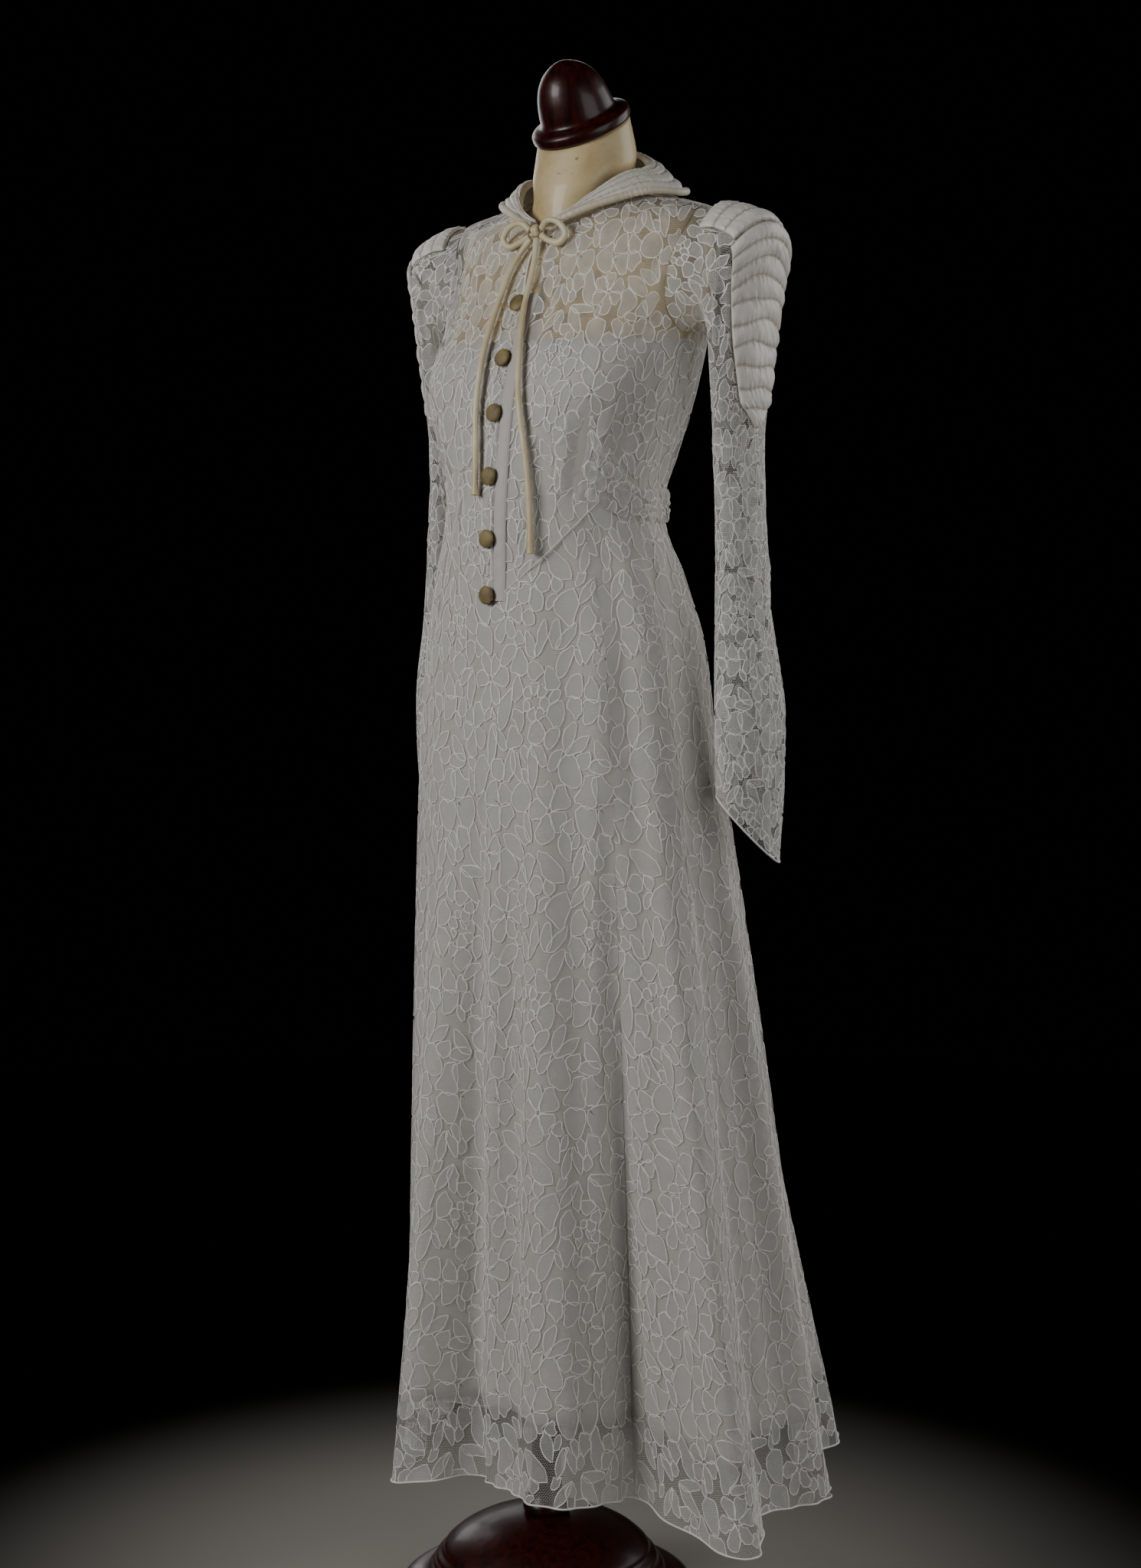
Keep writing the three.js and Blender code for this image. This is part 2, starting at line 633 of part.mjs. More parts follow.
BUTTON_LEVELS.forEach((level, i) => {
  const outward = normalAt(dressPoint, 0, riseOf(level));
  const button = addPiece(`button_${i + 1}`, turned(BUTTON_PROFILE, BUTTON_SIDES), BUTTON_SATIN);
  button.position.copy(dressPoint(0, riseOf(level))).addScaledVector(outward, BUTTON_STAND);
  button.quaternion.setFromUnitVectors(new THREE.Vector3(0, 0, 1), outward);
});

// Waist sashes
/** How far the sash has narrowed at an angle, from 0 at the front to 1. */
function sashNarrow(angle) {
  return THREE.MathUtils.smoothstep(angle, radians(SASH.front), radians(SASH.narrow));
}

const sashRows = SASH_GATHERS.map((_, r) =>
  steps(radians(SASH.front), radians(SASH.back), SASH.cells).map((angle) => {
    const low = mix(SASH_EDGES.frontLow, SASH_EDGES.backLow, sashNarrow(angle));
    const high = mix(SASH_EDGES.frontHigh, SASH_EDGES.backHigh, sashNarrow(angle));
    return [angle, riseOf(mix(low, high, r / (SASH_GATHERS.length - 1)))];
  }),
);
const sashOuter = (row) => SASH.clearance + SASH.wall + SASH_GATHERS[row];
addPair("sash", clothWall(dressPoint, sashRows, SASH.clearance, sashOuter), LACE);

// Rouleau tie
const knot = new THREE.SphereGeometry(TIE_KNOT.radius, TIE_KNOT.sides, TIE_KNOT.rows);
knot.scale(1, 1, TIE_KNOT.flatten);
addPiece("tie_knot", knot, TIE_SATIN).position.set(0, TIE_KNOT.y, TIE_KNOT.z);
for (const [name, route] of Object.entries(TIE_LOOPS)) {
  const points = route.map((p) => new THREE.Vector3(...p));
  addPiece(name, cord(points, TIE_RADIUS, TIE_LOOP_STEPS, TIE_SIDES), TIE_SATIN);
}

/** Points along a tail, from the knot and then down the bodice, the centre line off the cloth. */
function tailPoints({ start, laid }) {
  const lies = laid.map(([across, level]) => {
    const angle = across / sample(FIGURE, "sideZ", level).halfWidth;
    const rise = riseOf(level);
    return dressPoint(angle, rise).addScaledVector(normalAt(dressPoint, angle, rise), TIE_LIE);
  });
  return [new THREE.Vector3(...start), ...lies];
}

for (const [name, tail] of Object.entries(TIE_TAILS)) {
  addPiece(name, cord(tailPoints(tail), TIE_RADIUS, TIE_TAIL_STEPS, TIE_SIDES), TIE_SATIN);
}

// Dress form and its stand
const formSurface = (angle, rise) => figurePoint(angle, HIP_LEVEL + rise * RISE_UNIT);
const torsoTurns = steps(0, 2 * Math.PI, TORSO_SIDES).slice(0, -1);
const torsoRings = TORSO_LEVELS.map((level) => {
  const inset = sample(FIGURE, "sideZ", level).formInset;
  return torsoTurns.map((angle) => {
    const outward = normalAt(formSurface, angle, riseOf(level));
    return formSurface(angle, riseOf(level)).addScaledVector(outward, -inset);
  });
});
addPiece("form_torso", ringSolid(torsoRings), PARCHMENT);

const neckTop = FIGURE.at(-1);
const cap = addPiece("form_cap", turned(CAP_PROFILE, TURNED_SIDES), MAHOGANY);
cap.rotation.x = radians(CAP_TILT);
cap.position.set(0, neckTop.centreY, neckTop.sideZ);
cap.translateZ(CAP_GAP);
addPiece("stand_pole", turned(POLE_PROFILE, TURNED_SIDES / 2), MAHOGANY);
addPiece("stand_base", turned(BASE_PROFILE, TURNED_SIDES), MAHOGANY);

export default dress;
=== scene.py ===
"""Ivory lace wedding dress on a limbless form: cloth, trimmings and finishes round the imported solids."""

import logging
import math
from collections.abc import Callable, Sequence
from dataclasses import dataclass, field, replace
from enum import Enum

import bmesh
import bpy
import numpy as np
from bpy.types import Material, Node, NodeSocket, NodeTree, Object
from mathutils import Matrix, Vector

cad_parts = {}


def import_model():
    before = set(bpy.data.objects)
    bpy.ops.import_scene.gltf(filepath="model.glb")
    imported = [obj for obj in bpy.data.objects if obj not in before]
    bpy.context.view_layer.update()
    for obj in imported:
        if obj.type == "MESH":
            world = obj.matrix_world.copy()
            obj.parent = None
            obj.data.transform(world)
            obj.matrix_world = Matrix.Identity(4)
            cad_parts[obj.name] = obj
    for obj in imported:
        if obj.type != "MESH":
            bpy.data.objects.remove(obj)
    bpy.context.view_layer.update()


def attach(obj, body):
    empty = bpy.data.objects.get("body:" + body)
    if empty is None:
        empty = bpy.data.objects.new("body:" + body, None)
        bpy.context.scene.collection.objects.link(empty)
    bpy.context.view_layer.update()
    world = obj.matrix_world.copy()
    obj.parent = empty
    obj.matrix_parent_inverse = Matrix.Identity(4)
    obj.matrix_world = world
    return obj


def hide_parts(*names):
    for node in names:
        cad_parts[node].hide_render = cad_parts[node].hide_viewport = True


Array = np.ndarray
LOG = logging.getLogger("dress")
MM = 0.001
BODY = "root"
CLOTH_UV = "cloth"
WELD_GAP = 1e-7
TINY = 1e-9
MIRROR = np.array([-1.0, 1.0, 1.0])


# Small tools

def linear(code: str) -> tuple[float, float, float, float]:
    """Turns an sRGB hex colour into linear light.

    Args:
        code: Six hex digits, such as "d9d2c4".

    Returns:
        Red, green, blue and a full alpha.
    """
    parts = [int(code[i:i + 2], 16) / 255 for i in (0, 2, 4)]
    lit = [c / 12.92 if c <= 0.04045 else ((c + 0.055) / 1.055) ** 2.4 for c in parts]
    return (*lit, 1.0)


def feed(tree: NodeTree, node: Node, inputs: dict) -> None:
    """Sets inputs of a node: socket name or number, to a value or to the socket that feeds it."""
    for key, value in inputs.items():
        if isinstance(value, NodeSocket):
            tree.links.new(value, node.inputs[key])
        else:
            node.inputs[key].default_value = value


def add_node(tree: NodeTree, kind: str, inputs: dict | None = None, **settings: object) -> Node:
    """Adds a node, sets it up and links what comes into it.

    Args:
        tree: The node tree.
        kind: The node's type name.
        inputs: Socket name or number, to a value or to the socket that feeds it.
        settings: The node's own properties.

    Returns:
        The new node.
    """
    made = tree.nodes.new(kind)
    for name, value in settings.items():
        setattr(made, name, value)
    feed(tree, made, inputs or {})
    return made


def smooth_rows(rows: Array, at: Array) -> Array:
    """Reads a table on a smooth curve through its rows.

    Args:
        rows: The table, with its rising key in the first column.
        at: Key values to read at.

    Returns:
        One row of columns for each value.
    """
    key = rows[:, 0]
    last = len(key) - 1
    i = np.clip(np.searchsorted(key, at, side="left") - 1, 0, last - 1)
    low, high = rows[i], rows[i + 1]
    before, after = rows[np.maximum(i - 1, 0)], rows[np.minimum(i + 2, last)]
    span = high[..., :1] - low[..., :1]
    t = np.clip((at[..., None] - low[..., :1]) / span, 0, 1)
    slope_low = (high - before) / (high[..., :1] - before[..., :1]) * span
    slope_high = (after - low) / (after[..., :1] - low[..., :1]) * span
    bend = low * (1 + 2 * t) * (1 - t) ** 2 + high * t * t * (3 - 2 * t)
    return bend + slope_low * t * (1 - t) ** 2 - slope_high * t * t * (1 - t)


def mix(low: Array | float, high: Array | float, share: Array | float) -> Array | float:
    """Value between two others, at a share of the way."""
    return low + (high - low) * share


def run_along(path: Array) -> Array:
    """Length along a path from its start to each of its points."""
    return np.concatenate([[0], np.cumsum(np.linalg.norm(np.diff(path, axis=0), axis=1))])


def spaced(path: Array, count: int) -> Array:
    """Evenly spaced points along a path."""
    run = run_along(path)
    even = np.linspace(0, run[-1], count)
    return np.stack([np.interp(even, run, path[:, k]) for k in range(3)], 1)


def grid_faces(rows: int, columns: int, first: int = 0, closes_round: bool = False) -> Array:
    """Corner numbers of the quads of a grid of points.

    Args:
        rows: Rows of points, going up.
        columns: Points in a row, going to the right as seen from outside.
        first: Number of the grid's first point.
        closes_round: Whether the last column joins the first.

    Returns:
        One row of four corners for each quad.
    """
    across = np.arange(columns if closes_round else columns - 1)
    r, c = (n.ravel() for n in np.meshgrid(np.arange(rows - 1), across, indexing="ij"))
    after = (c + 1) % columns
    corners = [r * columns + c, r * columns + after, (r + 1) * columns + after, (r + 1) * columns + c]
    return first + np.stack(corners, 1)


def grid_normals(points: Array, closes_round: bool = False) -> Array:
    """Outward unit normals of a grid of points, rows going up and columns to the right."""
    across = np.roll(points, -1, 1) - np.roll(points, 1, 1) if closes_round else np.gradient(points, axis=1)
    normal = np.cross(across, np.gradient(points, axis=0))
    return normal / np.maximum(np.linalg.norm(normal, axis=-1, keepdims=True), 1e-12)


def raised(points: Array, off: Array | float, closes_round: bool = False) -> Array:
    """Points of a grid, moved out from it by a distance in millimetres."""
    return points + grid_normals(points, closes_round) * np.broadcast_to(off, points.shape[:2])[..., None]


def make_piece(
    name: str,
    points: Array,
    faces: Sequence[Array],
    materials: Sequence[Material],
    slots: Sequence[int] | None = None,
    uv: Array | None = None,
) -> Object:
    """Makes a smooth mesh object at the origin.

    Args:
        name: The piece's name.
        points: Vertices in millimetres.
        faces: Arrays of corner numbers, one array for each count of corners or material.
        materials: The piece's finishes.
        slots: Material number of each array of faces.
        uv: Cloth coordinates of each vertex, in metres.

    Returns:
        The new object, linked to the scene.
    """
    mesh = bpy.data.meshes.new(name)
    flat = np.concatenate([f.ravel() for f in faces]).astype(np.int32)
    counts = np.concatenate([np.full(len(f), f.shape[1]) for f in faces]).astype(np.int32)
    mesh.vertices.add(len(points))
    mesh.vertices.foreach_set("co", (np.asarray(points, float) * MM).astype(np.float32).ravel())
    mesh.loops.add(len(flat))
    mesh.loops.foreach_set("vertex_index", flat)
    mesh.polygons.add(len(counts))
    starts = np.concatenate([[0], np.cumsum(counts)[:-1]]).astype(np.int32)
    mesh.polygons.foreach_set("loop_start", starts)
    mesh.polygons.foreach_set("use_smooth", np.ones(len(counts), bool))
    for material in materials:
        mesh.materials.append(material)
    if slots is not None:
        numbers = np.concatenate([np.full(len(f), s) for f, s in zip(faces, slots)]).astype(np.int32)
        mesh.polygons.foreach_set("material_index", numbers)
    if uv is not None:
        layer = mesh.uv_layers.new(name=CLOTH_UV)
        layer.uv.foreach_set("vector", uv[flat].astype(np.float32).ravel())
    mesh.update(calc_edges=True)
    mesh.validate()
    made = bpy.data.objects.new(name, mesh)
    bpy.context.scene.collection.objects.link(made)
    return made


def weld(piece: Object) -> Object:
    """Joins corners of a piece that share one point, as on the axis of a turned piece."""
    work = bmesh.new()
    work.from_mesh(piece.data)
    bmesh.ops.remove_doubles(work, verts=work.verts, dist=WELD_GAP)
    work.to_mesh(piece.data)
    work.free()
    return piece


def dress_piece(piece: Object, slot: str, *nodes: str) -> Object:
    """Rides a piece on the body and hides the solids that it stands for."""
    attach(piece, BODY)
    if nodes:
        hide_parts(*nodes)
    LOG.info("%s: %d faces", piece.name, len(piece.data.polygons) if piece.type == "MESH" else 0)
    return piece


def tube(
    path: Array,
    radius: Array | float,
    sides: int,
    squash: float = 1.0,
    thin_way: Sequence[float] = (0.3, 0.2, 0.93),
) -> tuple[Array, list[Array]]:
    """Tube along a path, with its ends closed by caps.

    Args:
        path: Points of the centre line, in millimetres.
        radius: Radius at each point, or one for all.
        sides: Sides of the tube.
        squash: Share of the radius that is left the thin way.
        thin_way: Direction that the start of the tube is thin in.

    Returns:
        Vertices and arrays of faces.
    """
    count = len(path)
    ahead = np.gradient(path, axis=0)
    ahead /= np.linalg.norm(ahead, axis=1, keepdims=True)
    side = np.cross(ahead[0], thin_way)
    turn = 2 * np.pi * np.arange(sides) / sides
    radii = np.broadcast_to(radius, count)
    rings = []
    for centre, direction, reach in zip(path, ahead, radii):
        side = side - direction * (side @ direction)
        side = side / np.linalg.norm(side)
        thin = np.cross(direction, side) * squash
        rings.append(centre + reach * (np.cos(turn)[:, None] * side + np.sin(turn)[:, None] * thin))
    first = np.arange(sides)
    faces = [
        grid_faces(count, sides, closes_round=True),
        first[::-1][None, :],
        ((count - 1) * sides + first)[None, :],
    ]
    return np.concatenate(rings), faces


def through(points: Sequence[Sequence[float]], count: int) -> Array:
    """Evenly spaced points of a smooth curve through a few points.

    Args:
        points: The points that the curve goes through.
        count: How many points to return.

    Returns:
        The curve's points.
    """
    given = np.asarray(points, float)
    gaps = np.linalg.norm(np.diff(given, axis=0), axis=1) ** 0.5
    knots = np.concatenate([[0], np.cumsum(gaps)])
    fine = np.linspace(0, knots[-1], count * 6)
    return spaced(smooth_rows(np.column_stack([knots, given]), fine)[:, 1:], count)


def tube_piece(
    name: str,
    path: Array,
    radius: Array | float,
    material: Material,
    slot: str,
    *nodes: str,
    sides: int = 6,
    **flat: object,
) -> Object:
    """Makes a tube along a path as a piece, dressed as dress_piece says.

    Args:
        name: The piece's name.
        path: Points of the centre line, in millimetres.
        radius: Radius at each point, or one for all.
        material: Its finish.
        slot: The record's slot for it; not used.
        nodes: The solids that it stands for.
        sides: Sides of the tube.
        flat: How tube flattens it.

    Returns:
        The piece.
    """
    points, faces = tube(path, radius, sides, **flat)
    return dress_piece(make_piece(name, points, faces, [material]), slot, *nodes)


# Finishes

def new_material(name: str) -> tuple[Material, NodeTree, Node]:
    """Starts a material and gives its tree and its surface shader."""
    material = bpy.data.materials.new(name)
    material.use_nodes = True
    tree = material.node_tree
    return material, tree, tree.nodes["Principled BSDF"]


def clouded(
    tree: NodeTree, noise: dict, low: str | NodeSocket, high: str, span: tuple[float, float] = (0.0, 1.0)
) -> tuple[NodeSocket, NodeSocket]:
    """Mixes two colours in clouds.

    Args:
        tree: The material's tree.
        noise: Inputs of the noise.
        low: Colour where the noise is low, as hex digits or a socket.
        high: Colour where the noise is high.
        span: Values of the noise where the one colour ends and the other is reached.

    Returns:
        The colour and the noise.
    """
    cloud = add_node(tree, "ShaderNodeTexNoise", noise).outputs["Fac"]
    limits = {"Value": cloud, "From Min": span[0], "From Max": span[1]}
    share = add_node(tree, "ShaderNodeMapRange", limits).outputs["Result"]
    first = low if isinstance(low, NodeSocket) else linear(low)
    colours = {"Factor": share, "A": first, "B": linear(high)}
    return add_node(tree, "ShaderNodeMix", colours, data_type="RGBA").outputs["Result"], cloud


def streaked(tree: NodeTree, scale: tuple[float, float, float]) -> NodeSocket:
    """Object coordinates times a scale along each axis, for streaks."""
    place = add_node(tree, "ShaderNodeTexCoord").outputs["Object"]
    return add_node(tree, "ShaderNodeMapping", {"Vector": place, "Scale": scale}).outputs["Vector"]


@dataclass(frozen=True)
class LaceFinish:
    """Machine lace of cotton thread: an open net, closer clothwork in petals, and a bright cord round them.

    The net is drawn a little coarser than its real 2 mm so that its holes show in the picture.
    """

    thread: str = "e2dfd9"
    cloth: str = "e9e7e2"
    cloth_shade: str = "d5d3cf"
    cord: str = "f0ede6"
    hole_width: float = 2.7
    hole_height: float = 1.9
    net_thread: float = 0.26
    cloth_pitch: float = 1.3
    cloth_row: float = 0.7
    cloth_thread: float = 0.3
    cloth_cover: tuple[float, float] = (0.22, 0.46)
    streaks_per_metre: tuple[float, float, float] = (26.0, 26.0, 3.0)
    unit: float = 5.0

    def _meshwork(self, tree: NodeTree, width: float, height: float, thread: float) -> NodeSocket:
        """Mask of the threads of a net with offset rows, 1 on a thread and 0 in a hole."""
        uv = add_node(tree, "ShaderNodeUVMap", uv_map=CLOTH_UV).outputs["UV"]
        per_metre = 1 / (self.unit * MM)
        scaled = add_node(tree, "ShaderNodeMapping", {"Vector": uv, "Scale": (per_metre,) * 3})
        bricks = {
            "Vector": scaled.outputs["Vector"],
            "Scale": 1.0,
            "Mortar Size": thread / 2 / self.unit,
            "Mortar Smooth": 0.15,
            "Brick Width": width / self.unit,
            "Row Height": height / self.unit,
        }
        return add_node(tree, "ShaderNodeTexBrick", bricks).outputs["Fac"]

    def net(self) -> Material:
        """The open ground of the lace."""
        material, tree, surface = new_material("cotton_net")
        threads = self._meshwork(tree, self.hole_width, self.hole_height, self.net_thread)
        look = {"Base Color": linear(self.thread), "Roughness": 0.9, "Specular IOR Level": 0.2}
        feed(tree, surface, {**look, "Alpha": threads})
        return material

    def clothwork(self) -> Material:
        """The close filling of petals and leaves, half see-through, with fine rows of thread."""
        material, tree, surface = new_material("lace_clothwork")
        pitch, (least, most) = self.cloth_pitch, self.cloth_cover
        rows = self._meshwork(tree, pitch, pitch * self.cloth_row, pitch * self.cloth_thread)
        cover = add_node(tree, "ShaderNodeMapRange", {"Value": rows, "To Min": least, "To Max": most})
        noise = {"Vector": streaked(tree, self.streaks_per_metre), "Scale": 1.0, "Detail": 4.0}
        tint, _ = clouded(tree, noise, self.cloth_shade, self.cloth)
        look = {"Base Color": tint, "Roughness": 0.8, "Specular IOR Level": 0.25}
        feed(tree, surface, {**look, "Alpha": cover.outputs["Result"]})
        return material

    def cording(self) -> Material:
        """The raised mercerised cord that runs round each petal, brighter than the rest."""
        material, tree, surface = new_material("lace_cord")
        feed(tree, surface, {"Base Color": linear(self.cord), "Roughness": 0.6, "Sheen Weight": 0.15})
        return material


@dataclass(frozen=True)
class SatinFinish:
    """Silk satin: a close warp-faced weave with a soft broad gloss and slight age stains, and painted shade
    along the stitched rows where a row colour is given.
    """

    name: str
    colour: str
    shade: str
    roughness: float = 0.42
    weave: float = 0.5
    stain: float = 60.0
    # Colour of the painted shade in the hollows of the stitched rows, and how far it reaches from a row, in
    # ribs.
    row_shade: str = ""
    row_shade_reach: float = 0.14

    def _painted_row_shade(self, tree: NodeTree, tint: NodeSocket, cloud: NodeSocket) -> NodeSocket:
        """Paints shade into the hollows of the stitched rows, found by the rib numbers in the cloth
        coordinates, patchy with the stain clouds.
        """
        uv = add_node(tree, "ShaderNodeUVMap", uv_map=CLOTH_UV)
        rib = add_node(tree, "ShaderNodeSeparateXYZ", {"Vector": uv.outputs["UV"]})
        off = add_node(tree, "ShaderNodeMath", {0: rib.outputs["Y"], 1: 0.5}, operation="PINGPONG")
        fade = {"Value": off.outputs[0], "From Max": self.row_shade_reach, "To Min": 1.0, "To Max": 0.0}
        near = add_node(tree, "ShaderNodeMapRange", fade, interpolation_type="SMOOTHSTEP")
        patchy_shade = add_node(tree, "ShaderNodeMath", {0: near.outputs["Result"], 1: cloud}, operation="MULTIPLY")
        colours = {"Factor": patchy_shade.outputs[0], "A": tint, "B": linear(self.row_shade)}
        return add_node(tree, "ShaderNodeMix", colours, data_type="RGBA").outputs["Result"]

    def material(self) -> Material:
        """The satin, with its threads drawn as coarse as they need to show."""
        material, tree, surface = new_material(self.name)
        place = add_node(tree, "ShaderNodeTexCoord").outputs["Object"]
        noise = {"Vector": place, "Scale": 1 / (self.stain * MM), "Detail": 5.0}
        colour, cloud = clouded(tree, noise, self.shade, self.colour, (0.35, 0.7))
        # Painted shade along the stitched rows, when a row colour is given.
        if self.row_shade:
            colour = self._painted_row_shade(tree, colour, cloud)
        weave = {"Vector": place, "Scale": 1 / (self.weave * MM), "Detail": 1.0}
        thread = add_node(tree, "ShaderNodeTexNoise", weave).outputs["Fac"]
        bump = add_node(tree, "ShaderNodeBump", {"Height": thread, "Strength": 0.12, "Distance": 0.0004})
        look = {"Base Color": colour, "Sheen Weight": 0.2, "Specular IOR Level": 0.45}
        feed(tree, surface, {**look, "Roughness": self.roughness, "Normal": bump.outputs["Normal"]})
        return material


@dataclass(frozen=True)
class CrepeFinish:
    """Plain crepe of the slip: matt, finely pebbled, a grey ivory."""

    colour: str = "c9c7c4"
    shade: str = "aea69b"
    pebble: float = 0.9
    streaks_per_metre: tuple[float, float, float] = (30.0, 30.0, 2.0)

    def material(self) -> Material:
        """The crepe, with its pebble as a fine bump."""
        material, tree, surface = new_material("slip_crepe")
        streaks = streaked(tree, self.streaks_per_metre)
        noise = {"Vector": streaks, "Scale": 1.0, "Detail": 5.0, "Roughness": 0.6}
        tint, _ = clouded(tree, noise, self.shade, self.colour)
        place = add_node(tree, "ShaderNodeTexCoord").outputs["Object"]
        grain = add_node(tree, "ShaderNodeTexVoronoi", {"Vector": place, "Scale": 1 / (self.pebble * MM)})
        pebbles = {"Height": grain.outputs["Distance"], "Strength": 0.15, "Distance": 0.0003}
        bump = add_node(tree, "ShaderNodeBump", pebbles).outputs["Normal"]
        feed(tree, surface, {"Base Color": tint, "Roughness": 0.6, "Sheen Weight": 0.15, "Normal": bump})
        return material


@dataclass(frozen=True)
class ParchmentFinish:
    """Old glazed linen over the form: straw-coloured, waxy, with brown age marks."""

    colour: str = "cfbb8e"
    shade: str = "ab8f5f"
    mark: str = "8a6a3c"
    clouds_per_metre: float = 14.0
    spots_per_metre: float = 90.0

    def material(self) -> Material:
        """The cover, stained in clouds and small spots."""
        material, tree, surface = new_material("form_parchment")
        place = add_node(tree, "ShaderNodeTexCoord").outputs["Object"]
        noise = {"Vector": place, "Scale": self.clouds_per_metre, "Detail": 6.0, "Roughness": 0.65}
        tint, cloud = clouded(tree, noise, self.colour, self.shade, (0.42, 0.72))
        spots = {"Vector": place, "Scale": self.spots_per_metre, "Detail": 2.0}
        marked, _ = clouded(tree, spots, tint, self.mark, (0.68, 0.78))
        bump = add_node(tree, "ShaderNodeBump", {"Height": cloud, "Strength": 0.08, "Distance": 0.001})
        look = {"Base Color": marked, "Roughness": 0.48, "Coat Weight": 0.15}
        feed(tree, surface, {**look, "Normal": bump.outputs["Normal"]})
        return material


@dataclass(frozen=True)
class MahoganyFinish:
    """Turned mahogany under French polish: dark red-brown with long streaks and a clear gloss."""

    colour: str = "3a0d08"
    streak: str = "140302"
    streak_width: float = 7.0
    streak_length: float = 90.0

    def material(self) -> Material:
        """The wood, with streaks along the turning axis."""
        material, tree, surface = new_material("polished_mahogany")
        fine, coarse = 1 / (self.streak_width * MM), 1 / (self.streak_length * MM)
        streaks = streaked(tree, (fine, fine, coarse))
        noise = {"Vector": streaks, "Scale": 1.0, "Detail": 5.0, "Distortion": 0.6}
        tint, _ = clouded(tree, noise, self.colour, self.streak, (0.35, 0.68))
        look = {"Base Color": tint, "Roughness": 0.36, "Specular IOR Level": 0.3}
        feed(tree, surface, {**look, "Coat Weight": 0.15, "Coat Roughness": 0.1})
        return material


class Finishes:
    """Every finish of the dress and its form, made once."""

    def __init__(self) -> None:
        """Makes the materials."""
        lace = LaceFinish()
        self.net = lace.net()
        self.clothwork = lace.clothwork()
        self.cording = lace.cording()
        self.slip = CrepeFinish().material()
        # Quilted satin, with painted shade in the hollows of its stitched rows.
        self.satin = SatinFinish("quilted_satin", "e9e6e0", "d3ccc1", 0.4, row_shade="8d7955").material()
        self.edging = SatinFinish("edging_satin", "e2dac9", "c8bca3", 0.42, stain=30.0).material()
        self.tie = SatinFinish("rouleau_satin", "e4d8ba", "c9b68c", 0.38).material()
        self.button = SatinFinish("button_satin", "968353", "63522f", 0.58, stain=16.0).material()
        self.thread = SatinFinish("sewing_thread", "d8cfbc", "b8ab90", 0.7).material()
        self.parchment = ParchmentFinish().material()
        self.mahogany = MahoganyFinish().material()


# The figure and the drape of the skirt

@dataclass(frozen=True)
class Crease:
    """A soft fold in the cloth from one place to another; a rise above 0 is a ridge and below 0 a trough."""

    from_angle: float
    from_height: float
    to_angle: float
    to_height: float
    half_width: float
    rise: float

    @staticmethod
    def rows(*values: tuple[float, ...]) -> tuple["Crease", ...]:
        """Folds from rows of their values, in the order of the fields."""
        return tuple(Crease(*row) for row in values)

    def lift(self, degrees: Array, height: Array, radius: Array | float) -> Array:
        """How far the fold lifts the cloth.

        Args:
            degrees: Angles round the figure.
            height: Heights in millimetres.
            radius: Radius that turns angles into lengths there.

        Returns:
            Lift off the cloth's own form, in millimetres.
        """
        round_it = math.radians(self.to_angle - self.from_angle) * np.mean(radius)
        along = np.array([round_it, self.to_height - self.from_height])
        length = np.linalg.norm(along)
        turn = (degrees - self.from_angle + 180) % 360 - 180
        across, up = np.radians(turn) * radius, height - self.from_height
        run = np.clip((across * along[0] + up * along[1]) / length ** 2, 0, 1)
        off = np.hypot(across - run * along[0], up - run * along[1])
        ends = np.sin(np.pi * np.clip(0.12 + 0.76 * run, 0, 1)) ** 0.8
        return self.rise * ends * np.exp(-((off / self.half_width) ** 2))


